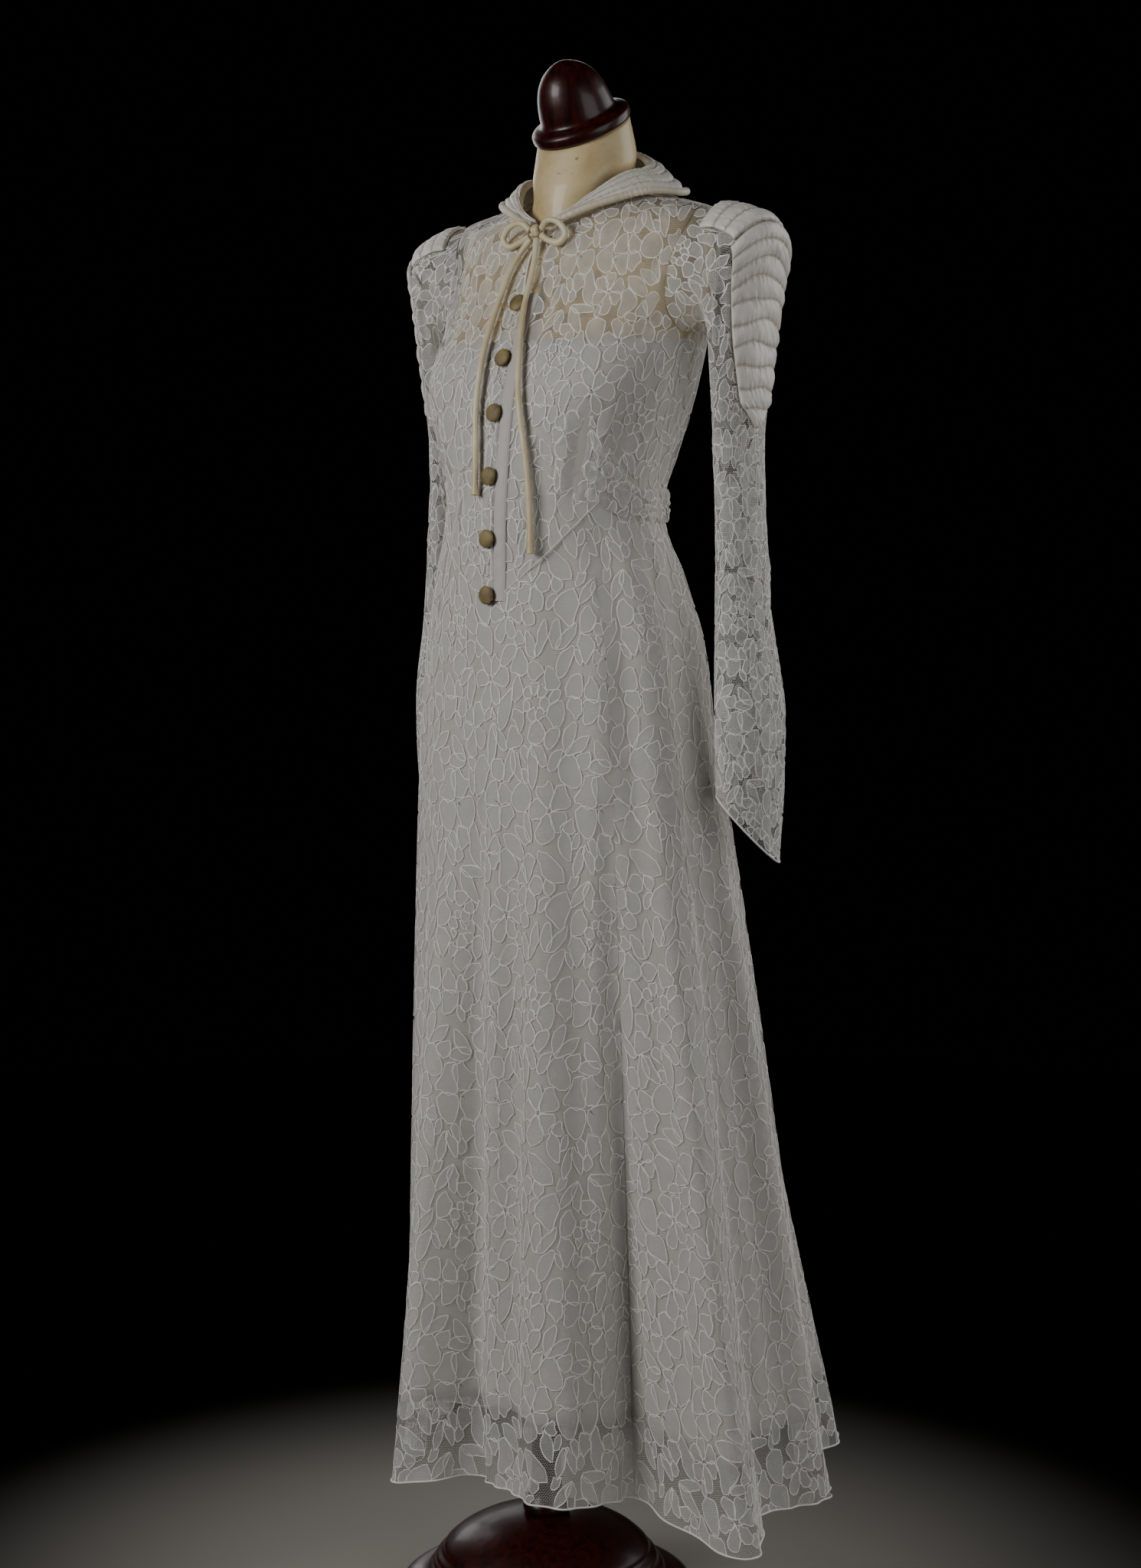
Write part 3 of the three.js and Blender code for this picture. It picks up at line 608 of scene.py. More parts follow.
@dataclass
class Figure:
    """The dressed figure: sections from the hip to the neck, and the skirt that hangs from the hip."""

    hip: float = 1000.0
    waist_point: float = 1118.0
    waist_side: float = 1232.0
    waist_side_angle: float = 60.0
    neckline: float = 1563.0
    neck_top: float = 1634.0
    rise_unit: float = 100.0
    bust_level: float = 1352.0
    bust_angle: float = 40.0
    bust_rise: float = 20.0
    bust_angle_spread: float = 24.0
    bust_level_spread: float = 58.0
    armhole_angle: float = 88.0
    armhole_reach: float = 25.0
    armhole_level: float = 1474.0
    armhole_half: float = 67.0
    hem_centre: float = 100.0
    fold_fade: float = 0.35
    fold_window: float = 40.0
    window_steps: int = 17
    sections: Array = field(default_factory=lambda: np.array([
        # side z, front z, back z, centre y, half width, front depth, back depth, form inset
        [1000, 1000, 1000, 28, 174, 126, 138, 9],
        [1080, 1080, 1080, 26, 164, 121, 132, 9],
        [1150, 1150, 1150, 20, 146, 113, 117, 9],
        [1222, 1222, 1222, 16, 128, 108, 103, 9],
        [1290, 1290, 1290, 25, 139, 110, 117, 9],
        [1350, 1350, 1350, 34, 153, 108, 127, 9],
        [1406, 1406, 1406, 44, 162, 101, 126, 9],
        [1450, 1450, 1450, 53, 168, 90, 118, 9],
        [1495, 1485, 1498, 62, 172, 84, 106, 9],
        [1541, 1511, 1556, 70, 163, 80, 80, 9],
        [1553, 1519, 1574, 70, 115, 75, 68, 8],
        [1563, 1524, 1588, 68, 66, 69, 60, 6],
        [1600, 1566, 1626, 68, 57, 59, 53, 0],
        [1634, 1607.4, 1660.4, 64, 53, 46, 46, 0],
    ], float))
    hem_folds: Array = field(default_factory=lambda: np.array([
        # angle, radius, height
        [-35, 205, 152],
        [-17, 276, 155],
        [-3, 202, 159],
        [30, 248, 158],
        [50, 186, 148],
        [66, 338, 126],
        [82, 252, 130],
        [105, 274, 125],
        [130, 226, 121],
        [153, 306, 118],
        [175, 236, 119],
        [196, 302, 119],
        [214, 232, 122],
        [233, 298, 125],
        [252, 224, 130],
        [270, 284, 135],
        [290, 192, 144],
        [308, 228, 148],
        [325, 205, 152],
    ], float))

    def section(self, level: Array) -> Array:
        """The figure's section at each level, with the table's columns."""
        return smooth_rows(self.sections, np.asarray(level, float))

    def point(self, degrees: Array, level: Array) -> Array:
        """Points of the figure at angles from the front, growing to the dress's left, and levels."""
        angle, level = np.broadcast_arrays(np.radians(degrees), np.asarray(level, float))
        row = self.section(level)
        facing = np.cos(angle)
        front = facing > 0
        end_z = np.where(front, row[..., 1], row[..., 2])
        depth = np.where(front, row[..., 5], row[..., 6])
        up_neck = np.clip((level - self.neckline) / (self.neck_top - self.neckline), 0, 1)
        from_front = np.abs(np.arctan2(np.sin(angle), facing))
        across = (from_front - math.radians(self.bust_angle)) / math.radians(self.bust_angle_spread)
        up = (level - self.bust_level) / self.bust_level_spread
        bust = self.bust_rise * np.exp(-across * across - up * up)
        x = (row[..., 4] + bust) * np.sin(angle)
        y = row[..., 3] - (depth + bust) * facing
        return np.stack([x, y, mix(level, end_z, np.abs(facing) ** mix(2.0, 1.0, up_neck))], -1)

    def outward(self, degrees: Array, level: Array, step: float = 0.5) -> Array:
        """Outward directions of the figure at angles and levels."""
        across = self.point(degrees + step, level) - self.point(degrees - step, level)
        up = self.point(degrees, level + step) - self.point(degrees, level - step)
        normal = np.cross(across, up)
        return normal / np.linalg.norm(normal, axis=-1, keepdims=True)

    def hem(self, degrees: Array) -> tuple[Array, Array]:
        """Radius and height of the hem at angles, eased between its crests and valleys."""
        rows = self.hem_folds
        turned = rows[0, 0] + (degrees - rows[0, 0]) % 360
        i = np.clip(np.searchsorted(rows[:, 0], turned, side="left") - 1, 0, len(rows) - 2)
        share = (turned - rows[i, 0]) / (rows[i + 1, 0] - rows[i, 0])
        ease = (1 - np.cos(np.pi * share)) / 2
        return mix(rows[i, 1], rows[i + 1, 1], ease), mix(rows[i, 2], rows[i + 1, 2], ease)

    def dress(self, degrees: Array, rise: Array) -> Array:
        """Points of the dress: rise is -1 at the hem, 0 at the hip, and then hundreds of mm up the figure."""
        degrees, rise = np.broadcast_arrays(np.asarray(degrees, float), np.asarray(rise, float))
        body = self.point(degrees, self.hip + np.maximum(rise, 0) * self.rise_unit)
        fold, height = self.hem(degrees)
        offsets = np.linspace(-self.fold_window, self.fold_window, self.window_steps)
        sweep = sum(self.hem(degrees + offset)[0] for offset in offsets) / len(offsets)
        down = np.clip(-rise, 0, 1)
        radius = sweep + (fold - sweep) * down ** self.fold_fade
        angle = np.radians(degrees)
        hem = np.stack([radius * np.sin(angle), self.hem_centre - radius * np.cos(angle), height], -1)
        return mix(body, hem, down[..., None])

    def rise_of(self, level: Array | float) -> Array | float:
        """Rise of a level on the figure."""
        return (level - self.hip) / self.rise_unit

    def seam_level(self, degrees: Array) -> Array:
        """Level of the pointed waist seam at angles."""
        turn = np.abs((np.asarray(degrees, float) + 180) % 360 - 180)
        return mix(self.waist_point, self.waist_side, np.minimum(turn / self.waist_side_angle, 1))


# Cloth laid on a form

class ClothMap:
    """A piece of cloth on its form: a grid of points and the flat pattern that it unrolls to.

    The piece's cut is kept as bounds in grid numbers: the lowest and highest row at each column, and the
    first and last column at each row.
    """

    LEAST_PITCH = 0.5
    TURNS = (1.0, 0.8, 0.6, 0.4, 0.2, 0.0)
    EASE_LEVELS = ((14, 12, 300), (40, 32, 200))
    LOOSE = 0.03
    NEAR_CUT = 0.03
    SKIP = 4
    FIND_PASSES = 12
    FIND_STEP = 6
    MARGIN = 9

    def __init__(
        self,
        points: Array,
        low: Array | None = None,
        high: Array | None = None,
        left: Array | None = None,
        right: Array | None = None,
        smooth: Array | None = None,
    ) -> None:
        """Takes the grid, in millimetres, rows going up and columns to the right, and the bounds of the cut.

        A bound that isn't given is the grid's own edge. The lengths of the flat pattern are those of the
        smooth grid, where one is given.
        """
        rows, columns = points.shape[:2]
        self.points = points
        self.smooth = points if smooth is None else smooth
        self.normals = grid_normals(points)
        self.low = np.zeros(columns) if low is None else low
        self.high = np.full(columns, rows - 1.0) if high is None else high
        self.left = np.zeros(rows) if left is None else left
        self.right = np.full(rows, columns - 1.0) if right is None else right
        self.pattern = self._ease(self._unroll())

    def _unroll(self) -> Array:
        """Lays the columns flat as straight lines, each set to keep its distances from the last."""
        rows, columns = self.smooth.shape[:2]
        up = np.linalg.norm(np.diff(self.smooth, axis=0), axis=2)
        run = np.concatenate([np.zeros((1, columns)), np.cumsum(up, 0)], 0)
        middle = columns // 2
        foot, way = np.zeros((columns, 2)), np.tile([0.0, 1.0], (columns, 1))
        tangent = np.gradient(self.smooth, axis=0)
        tangent /= np.maximum(np.linalg.norm(tangent, axis=2, keepdims=True), TINY)
        number = np.arange(rows)
        for step in (1, -1):
            for c in range(middle + step, columns if step > 0 else -1, step):
                before = c - step
                gap = self.smooth[:, c] - self.smooth[:, before]
                along = (gap * (tangent[:, c] + tangent[:, before]) / 2).sum(1)
                off = np.sqrt(np.maximum((gap * gap).sum(1) - along * along, 0)) * step
                side = np.array([way[before, 1], -way[before, 0]])
                target = foot[before] + np.outer(run[:, before] + along, way[before]) + np.outer(off, side)
                used = (number >= self.low[c] - 1) & (number <= self.high[c] + 1)
                weight = used * np.gradient(run[:, c]) + 1e-6
                weight /= weight.sum()
                mean_target, mean_run = weight @ target, weight @ run[:, c]
                pull = ((run[:, c] - mean_run) * weight) @ (target - mean_target)
                pull /= max(np.linalg.norm(pull), TINY)
                line = foot[before] + np.outer(run[:, before], way[before])
                for turned in self.TURNS:
                    way[c] = mix(way[before], pull, turned)
                    way[c] /= np.linalg.norm(way[c])
                    foot[c] = mean_target - mean_run * way[c]
                    pitch = (foot[c] + np.outer(run[:, c], way[c]) - line) @ side
                    if (pitch[used] / np.where(off == 0, TINY, off)[used]).min() > self.LEAST_PITCH:
                        break
        return foot + way * run[..., None]

    def _ease(self, pattern: Array) -> Array:
        """Eases a flat pattern, as a net of springs, until its lengths are as near the cloth's as can be.

        Args:
            pattern: Flat places of the grid's points to start from.

        Returns:
            The eased places.
        """
        rows, columns = pattern.shape[:2]
        for ease_rows, ease_columns, steps in self.EASE_LEVELS:
            ends = np.linspace(0, rows - 1, ease_rows), np.linspace(0, columns - 1, ease_columns)
            r, c = np.meshgrid(*ends, indexing="ij")
            start, solid = self._read(pattern, r, c), self._read(self.smooth, r, c)
            kept_r, kept_c = self.in_cut(r, c)
            far = np.abs(kept_r - r) / rows + np.abs(kept_c - c) / columns
            hold = np.where(far < self.NEAR_CUT, 1.0, self.LOOSE)[..., None]
            every, first, last = slice(None), slice(None, -1), slice(1, None)
            springs = []
            for a, b in (
                ((first, every), (last, every)),
                ((every, first), (every, last)),
                ((first, first), (last, last)),
                ((first, last), (last, first)),
            ):
                length = np.linalg.norm(solid[b] - solid[a], axis=-1, keepdims=True)
                springs.append((a, b, length, np.minimum(hold[a], hold[b])))
            place = start.copy()
            for _ in range(steps):
                push, weight = np.zeros_like(place), np.full_like(hold, 1e-6)
                for a, b, length, stiff in springs:
                    gap = place[b] - place[a]
                    now = np.maximum(np.linalg.norm(gap, axis=-1, keepdims=True), TINY)
                    move = gap * (1 - length / now) * stiff / 2
                    push[a] += move
                    push[b] -= move
                    weight[a] += stiff
                    weight[b] += stiff
                place = place + push / weight
            back = np.linspace(0, ease_rows - 1, rows), np.linspace(0, ease_columns - 1, columns)
            pattern = pattern + self._read(place - start, *np.meshgrid(*back, indexing="ij"))
        return pattern

    def mirrored(self) -> "ClothMap":
        """The same piece on the other side of the dress."""
        last = self.points.shape[1] - 1.0
        points, smooth = (grid[:, ::-1] * MIRROR for grid in (self.points, self.smooth))
        return ClothMap(points, self.low[::-1], self.high[::-1], last - self.right, last - self.left, smooth)

    @staticmethod
    def _read(values: Array, r: Array, c: Array) -> Array:
        """Reads a grid of values between its points."""
        i = np.clip(r.astype(int), 0, values.shape[0] - 2)
        j = np.clip(c.astype(int), 0, values.shape[1] - 2)
        u, v = (r - i)[..., None], (c - j)[..., None]
        low = values[i, j] * (1 - v) + values[i, j + 1] * v
        high = values[i + 1, j] * (1 - v) + values[i + 1, j + 1] * v
        return low * (1 - u) + high * u

    def flat(self, r: Array, c: Array) -> Array:
        """Places on the flat pattern, in millimetres, of places in the grid."""
        return self._read(self.pattern, r, c)

    def nearest(self, places: Array) -> tuple[Array, Array]:
        """Row and column numbers of grid points near places on the flat pattern."""
        skip = self.SKIP
        picked = self.pattern[::skip, ::skip]
        flat = picked.reshape(-1, 2)
        near = np.array([((flat - place) ** 2).sum(1).argmin() for place in places])
        return near // picked.shape[1] * float(skip), near % picked.shape[1] * float(skip)

    def find(self, places: Array, near_r: Array, near_c: Array) -> tuple[Array, Array]:
        """Places in the grid, from places on the flat pattern.

        Args:
            places: Flat places in millimetres, the last axis holding the two.
            near_r: Row numbers to look from.
            near_c: Column numbers to look from.

        Returns:
            Row and column numbers, with fractions.
        """
        rows, columns = self.points.shape[:2]
        r, c = (np.array(np.broadcast_to(near, places.shape[:-1]), float) for near in (near_r, near_c))
        for _ in range(self.FIND_PASSES):
            i, j = np.clip(r.astype(int), 0, rows - 2), np.clip(c.astype(int), 0, columns - 2)
            u, v = (r - i)[..., None], (c - j)[..., None]
            corner, beside = self.pattern[i, j], self.pattern[i, j + 1]
            above, across = self.pattern[i + 1, j], self.pattern[i + 1, j + 1]
            miss = places - mix(mix(corner, beside, v), mix(above, across, v), u)
            up, right = mix(above - corner, across - beside, v), mix(beside - corner, across - above, u)
            area = right[..., 0] * up[..., 1] - up[..., 0] * right[..., 1]
            area = np.where(np.abs(area) < 1e-6, 1e-6, area)
            step_c = (miss[..., 0] * up[..., 1] - up[..., 0] * miss[..., 1]) / area
            step_r = (right[..., 0] * miss[..., 1] - miss[..., 0] * right[..., 1]) / area
            step_r, step_c = (np.clip(step, -self.FIND_STEP, self.FIND_STEP) for step in (step_r, step_c))
            r = np.clip(r + step_r, -self.MARGIN, rows - 1 + self.MARGIN)
            c = np.clip(c + step_c, -self.MARGIN, columns - 1 + self.MARGIN)
        return r, c

    def in_cut(self, r: Array, c: Array) -> tuple[Array, Array]:
        """The nearest places that lie in the cut."""
        rows, columns = self.points.shape[:2]
        r, c = np.clip(r, 0, rows - 1), np.clip(c, 0, columns - 1)
        all_r, all_c = np.arange(rows), np.arange(columns)
        for _ in range(2):
            c = np.clip(c, np.interp(r, all_r, self.left), np.interp(r, all_r, self.right))
            r = np.clip(r, np.interp(c, all_c, self.low), np.interp(c, all_c, self.high))
        return r, c

    def lift(self, r: Array, c: Array, off: Array | float) -> Array:
        """Points of the cloth, moved out from it by a distance in millimetres."""
        normal = self._read(self.normals, r, c)
        return self._read(self.points, r, c) + normal * np.broadcast_to(off, r.shape)[..., None]

    def mesh(self, rows: int, columns: int) -> tuple[Array, Array]:
        """Places of an even grid over the cut.

        Args:
            rows: Rows of points.
            columns: Points in a row.

        Returns:
            Row and column numbers in this map, one grid each.
        """
        v, u = np.meshgrid(np.linspace(0, 1, rows), np.linspace(0, 1, columns), indexing="ij")
        all_rows, all_columns = (np.arange(n) for n in self.points.shape[:2])
        c = u * all_columns[-1]
        for _ in range(3):
            r = mix(np.interp(c, all_columns, self.low), np.interp(c, all_columns, self.high), v)
            c = mix(np.interp(r, all_rows, self.left), np.interp(r, all_rows, self.right), u)
        return r, c


# Lace

class Motif(Enum):
    """Shapes of the lace's filled parts."""

    PETAL = "petal"
    HEART = "heart"
    LEAF = "leaf"
    ROUND = "round"


FILLER_WIDTHS = {Motif.PETAL: 0.75, Motif.HEART: 0.85, Motif.LEAF: 0.42, Motif.ROUND: 0.8}


@dataclass
class LaceRepeat:
    """One repeat of the lace, packed with blossoms, roses and leaves on a tile whose edges join."""

    width: int = 220
    height: int = 270
    gap: float = 0.8
    corners: int = 16
    few_corners: int = 11
    few_below: float = 17.5
    seed: int = 7
    roses: int = 2
    blossoms: int = 9
    leaves: int = 12
    filler_lengths: tuple[float, ...] = (38, 34, 30, 26, 23, 20, 17, 14.5, 12.5)
    filler_tries: int = 420
    filler_width: tuple[float, float] = (0.85, 1.1)
    group_tries: int = 160
    heart_share: float = 0.35
    wobble: tuple[float, float] = (0.11, 0.08)
    petal_belly: float = 0.75
    petal_width: float = 1.2
    leaf_point: float = 0.35
    notch_depth: float = 0.2
    notch_reach: float = 0.42
    bend: float = 0.16
    petal_turn: float = 0.09
    petal_length: tuple[float, float] = (0.85, 1.12)
    petal_widest: float = 0.62
    blossom_petals: tuple[int, int] = (4, 7)
    blossom_root: float = 2.4
    blossom_length: tuple[float, float] = (21, 29)
    blossom_spread: float = 0.78
    rose_rings: tuple[tuple[int, float, float, float], ...] = ((7, 8.0, 8.5, 0.72), (6, 19.5, 17.0, 0.6))
    leaf_length: tuple[float, float] = (26, 40)
    leaf_width: tuple[float, float] = (11, 15)
    leaf_part: tuple[float, float] = (0.34, 0.5)
    grow_step: float = 1.3
    grow_passes: int = 2
    waver: float = 0.5

    def __post_init__(self) -> None:
        """Packs the tile."""
        self.draw = np.random.default_rng(self.seed)
        self.taken = np.zeros((self.height, self.width), bool)
        self.outlines: list[Array] = []
        self._place_groups(self.roses, self._rose)
        self._place_groups(self.blossoms, self._blossom)
        self._place_groups(self.leaves, self._leaf_pair)
        for length in self.filler_lengths:
            for _ in range(self.filler_tries):
                self._try([self._filler(length)])
        for _ in range(self.grow_passes):
            self._grow()
        self.outlines = [o + self.draw.normal(0, self.waver, o.shape) for o in self.outlines]
        counts = (self.corners, self.few_corners)
        self.tiles = [np.array([o for o in self.outlines if len(o) == count]) for count in counts]

    def shape(self, kind: Motif, length: float, width: float) -> Array:
        """Outline of one motif, from its root at the origin up the second axis, anticlockwise.

        Args:
            kind: Which motif.
            length: Length from root to tip, in millimetres.
            width: Greatest width.

        Returns:
            The outline's corners.
        """
        corners = self.few_corners if length < self.few_below else self.corners
        turn = 2 * np.pi * (np.arange(corners) + 0.5) / corners
        up = (1 - np.cos(turn)) / 2
        across = np.sin(turn)
        slow, quick = self.wobble
        wobble = 1 + slow * np.sin(3 * turn + self.draw.uniform(0, 6.28)) + quick * np.sin(5 * turn + length)
        if kind in (Motif.PETAL, Motif.HEART):
            across = across * np.abs(np.sin(turn / 2)) ** self.petal_belly * self.petal_width
        if kind is Motif.LEAF:
            across = across * np.abs(np.sin(turn)) ** self.leaf_point
        if kind is Motif.HEART:
            up = up - self.notch_depth * np.exp(-(((turn - np.pi) / self.notch_reach) ** 2))
        bend = self.draw.uniform(-self.bend, self.bend) * np.sin(np.pi * np.clip(up, 0, 1))
        return np.stack([across * width / 2 * wobble + bend * width, up * length], 1)

    def _spot(self) -> Array:
        """A place on the tile."""
        return self.draw.uniform((0, 0), (self.width, self.height))

    @staticmethod
    def _set(outline: Array, at: Array, turn: float) -> Array:
        """Turns an outline anticlockwise and moves it to a place."""
        c, s = math.cos(turn), math.sin(turn)
        return outline @ np.array([[c, s], [-s, c]]) + at

    def _petal_group(self, at: Array, count: int, root: float, length: float, spread: float) -> list[Array]:
        """Petals of a length round a place, rooted at a distance from it, each as wide as spread says."""
        start = self.draw.uniform(0, 2 * np.pi)
        group = []
        for k in range(count):
            turn = start + 2 * np.pi * k / count + self.draw.uniform(-self.petal_turn, self.petal_turn)
            kind = Motif.HEART if self.draw.random() < self.heart_share else Motif.PETAL
            long = length * self.draw.uniform(*self.petal_length)
            wide = spread * 2 * (root + long * self.petal_widest) * math.tan(np.pi / count)
            out = np.array([-math.sin(turn), math.cos(turn)])
            group.append(self._set(self.shape(kind, long, wide), at + out * root, turn))
        return group

    def _blossom(self) -> list[Array]:
        """A flower of four to six petals that meet near its middle."""
        count = int(self.draw.integers(*self.blossom_petals))
        at, length = self._spot(), self.draw.uniform(*self.blossom_length)
        return self._petal_group(at, count, self.blossom_root, length, self.blossom_spread)

    def _rose(self) -> list[Array]:
        """A rose: a ring of small scallops and one of broad petals round it, with open net at its heart."""
        at = self._spot()
        return [petal for ring in self.rose_rings for petal in self._petal_group(at, *ring)]

    def _leaf_pair(self) -> list[Array]:
        """Two leaves that part from one stem."""
        at, turn = self._spot(), self.draw.uniform(0, 2 * np.pi)
        pair = []
        for side in (-1, 1):
            length, width = self.draw.uniform(*self.leaf_length), self.draw.uniform(*self.leaf_width)
            blade = self.shape(Motif.LEAF, length, width)
            pair.append(self._set(blade, at, turn + side * self.draw.uniform(*self.leaf_part)))
        return pair

    def _filler(self, length: float) -> Array:
        """A single petal, heart, leaf or round that fills a gap."""
        kind = list(Motif)[int(self.draw.integers(0, len(Motif)))]
        wide = length * FILLER_WIDTHS[kind]
        outline = self.shape(kind, length, wide * self.draw.uniform(*self.filler_width))
        return self._set(outline, self._spot(), self.draw.uniform(0, 2 * np.pi))

    def _place_groups(self, count: int, make: Callable[[], list[Array]]) -> None:
        """Places a number of groups, each after as many tries as it needs, up to a limit."""
        for _ in range(count):
            for _ in range(self.group_tries):
                if self._try(make()):
                    break

    def _cells(self, outline: Array) -> tuple[Array, Array]:
        """Rows and columns of the tile's cells inside an outline."""
        low, high = np.floor(outline.min(0)), np.ceil(outline.max(0))
        x, y = np.meshgrid(np.arange(low[0], high[0]) + 0.5, np.arange(low[1], high[1]) + 0.5)
        inside = np.zeros(x.shape, bool)
        for a, b in zip(outline, np.roll(outline, -1, 0)):
            crosses = (a[1] > y) != (b[1] > y)
            rise = b[1] - a[1] if b[1] != a[1] else TINY
            inside ^= crosses & (x < (b[0] - a[0]) * (y - a[1]) / rise + a[0])
        return y[inside].astype(int) % self.height, x[inside].astype(int) % self.width

    def _clear(self, outline: Array) -> bool:
        """Whether an outline, with the gap round it, is clear of what is there."""
        middle = outline.mean(0)
        away = outline - middle
        reach = np.linalg.norm(away, axis=1, keepdims=True)
        return not self.taken[self._cells(middle + away * (1 + self.gap / np.maximum(reach, 3)))].any()

    def _try(self, group: list[Array]) -> bool:
        """Adds a group of outlines if they are all clear of what is there."""
        if not all(self._clear(outline) for outline in group):
            return False
        for outline in group:
            self.taken[self._cells(outline)] = True
            self.outlines.append(outline)
        return True

    def _grow(self) -> None:
        """Pushes each corner of each outline out where it stays clear of others, so that they nearly meet."""
        for number, outline in enumerate(self.outlines):
            self.taken[self._cells(outline)] = False
            for k in range(len(outline)):
                away = outline[k] - outline.mean(0)
                pushed = outline.copy()
                pushed[k] += away / max(np.linalg.norm(away), TINY) * self.grow_step
                if self._clear(pushed):
                    outline = pushed
            self.taken[self._cells(outline)] = True
            self.outlines[number] = outline


@dataclass
class LaceWork:
    """Makes lace pieces: a net ground with petals and cords worked on it."""

    finishes: Finishes
    repeat: LaceRepeat
    cord_width: float = 1.15
    cord_uneven: tuple[float, float] = (0.55, 1.25)
    drawn: tuple[float, float] = (0.84, 1.19)
    edge_reach: float = 3.0
    seed: int = 11
    cord_height: float = 0.0
    bed: float = -0.3
    net_bed: float = -0.6
    miss: float = 1.0
    least_share: float = 0.301
    measured: tuple[int, int] = (60, 40)

    def piece(
        self,
        name: str,
        cloth: ClothMap,
        mesh_rows: int,
        mesh_columns: int,
        nodes: Sequence[str],
        rests_on: Sequence[str],
        held: str,
        offset: tuple[float, float] = (0.0, 0.0),
        size: float = 1.0,
    ) -> Object:
        """Args:
            name: The piece's name.
            cloth: Its form and cut.
            mesh_rows: Rows of the net's mesh.
            mesh_columns: Columns of the net's mesh.
            nodes: The solids that it stands for.
            rests_on: What it hangs from or lies on; not used.
            held: How it is held; not used.
            offset: Where the repeat starts on it, in millimetres.
            size: Scale of the repeat.

        Returns:
            The net, which carries the motifs.
        """
        net = self._net(f"{name}_net", cloth, mesh_rows, mesh_columns)
        dress_piece(net, "lace", *nodes)
        motifs = self._motifs(f"{name}_motifs", cloth, np.array(offset), size)
        dress_piece(motifs, "lace")
        self._declare(net, cloth)
        return net

    def _net(self, name: str, cloth: ClothMap, rows: int, columns: int) -> Object:
        """The ground of the lace, one thread thick, with its lengths as cloth coordinates."""
        r, c = cloth.mesh(rows, columns)
        points = cloth.lift(r, c, self.net_bed).reshape(-1, 3)
        uv = cloth.flat(r, c).reshape(-1, 2) * MM
        return make_piece(name, points, [grid_faces(rows, columns)], [self.finishes.net], uv=uv)

    def _spread(
        self, cloth: ClothMap, tile: Array, offset: Array, size: float
    ) -> tuple[Array, Array, Array]:
        """Repeats a tile's motifs over a piece.

        Args:
            cloth: The piece.
            tile: Outlines of the motifs of one repeat.
            offset: Where the repeat starts.
            size: Scale of the repeat.

        Returns:
            Outlines of the motifs whose middles lie in the cut or close by, and their rows and columns.
        """
        scale = np.array(self.drawn) * size
        step = np.array([self.repeat.width, self.repeat.height]) * scale
        pattern = cloth.pattern.reshape(-1, 2)
        first = np.floor((pattern.min(0) - offset) / step).astype(int) - 1
        last = np.ceil((pattern.max(0) - offset) / step).astype(int) + 1
        places = [(i, j) for i in range(first[0], last[0]) for j in range(first[1], last[1])]
        shifts = [offset + np.array(place) * step for place in places]
        outlines = np.concatenate([tile * scale + shift for shift in shifts])
        middles = outlines.mean(1)
        r, c = cloth.find(middles, *cloth.nearest(middles))
        near = np.linalg.norm(cloth.flat(r, c) - middles, axis=1) < self.miss
        beyond = np.linalg.norm(cloth.flat(*cloth.in_cut(r, c)) - cloth.flat(r, c), axis=1)
        inside = near & (beyond < self.edge_reach)
        return outlines[inside], r[inside], c[inside]

    def _motifs(self, name: str, cloth: ClothMap, offset: Array, size: float) -> Object:
        """Petals as thin close fillings, and a raised cord round each."""
        points, uvs, cords, fills = [], [], [], []
        done = 0
        for tile in self.repeat.tiles:
            outlines, near_r, near_c = self._spread(cloth, tile, offset, size)
            count, corners = outlines.shape[:2]
            along = np.roll(outlines, -1, 1) - np.roll(outlines, 1, 1)
            outward = np.stack([along[..., 1], -along[..., 0]], -1)
            outward /= np.maximum(np.linalg.norm(outward, axis=-1, keepdims=True), TINY)
            uneven = np.random.default_rng(self.seed).uniform(*self.cord_uneven, (count, corners, 1))
            half = outward * self.cord_width / 2 * uneven
            rings = [
                (outlines + half, self.bed),
                (outlines, self.cord_height),
                (outlines - half, self.bed),
                (outlines, self.bed),
                (outlines.mean(1, keepdims=True), self.bed),
            ]
            placed, flat = [], []
            for ring, off in rings:
                r, c = cloth.in_cut(*cloth.find(ring, near_r[:, None], near_c[:, None]))
                placed.append(cloth.lift(r, c, off))
                flat.append(cloth.flat(r, c) * MM)
            per_motif = 4 * corners + 1
            start = done + np.arange(count)[:, None, None] * per_motif
            k = np.arange(corners)
            after = (k + 1) % corners
            for ring in (0, corners):
                quads = np.stack([ring + k, ring + after, ring + corners + after, ring + corners + k], 1)
                cords.append((start + quads).reshape(-1, 4))
            hub = np.stack([3 * corners + k, 3 * corners + after, np.full(corners, 4 * corners)], 1)
            fills.append((start + hub).reshape(-1, 3))
            points.append(np.concatenate(placed, 1).reshape(-1, 3))
            uvs.append(np.concatenate(flat, 1).reshape(-1, 2))
            done += count * per_motif
        return make_piece(
            name,
            np.concatenate(points),
            [np.concatenate(cords), np.concatenate(fills)],
            [self.finishes.cording, self.finishes.clothwork],
            slots=[0, 1],
            uv=np.concatenate(uvs),
        )

    def _declare(
        self, net: Object, cloth: ClothMap
    ) -> None:
        """Works out the size of the cut from the lengths along its rows and columns, and the net's area, but
        keeps neither.
        """
        r, c = cloth.mesh(*self.measured)
        flat = cloth.flat(r, c) * MM
        width, length = np.ptp(flat[..., 0]), np.ptp(flat[..., 1])
        area = sum(polygon.area for polygon in net.data.polygons)
        area = min(max(area, self.least_share * width * length), width * length)


# The dress

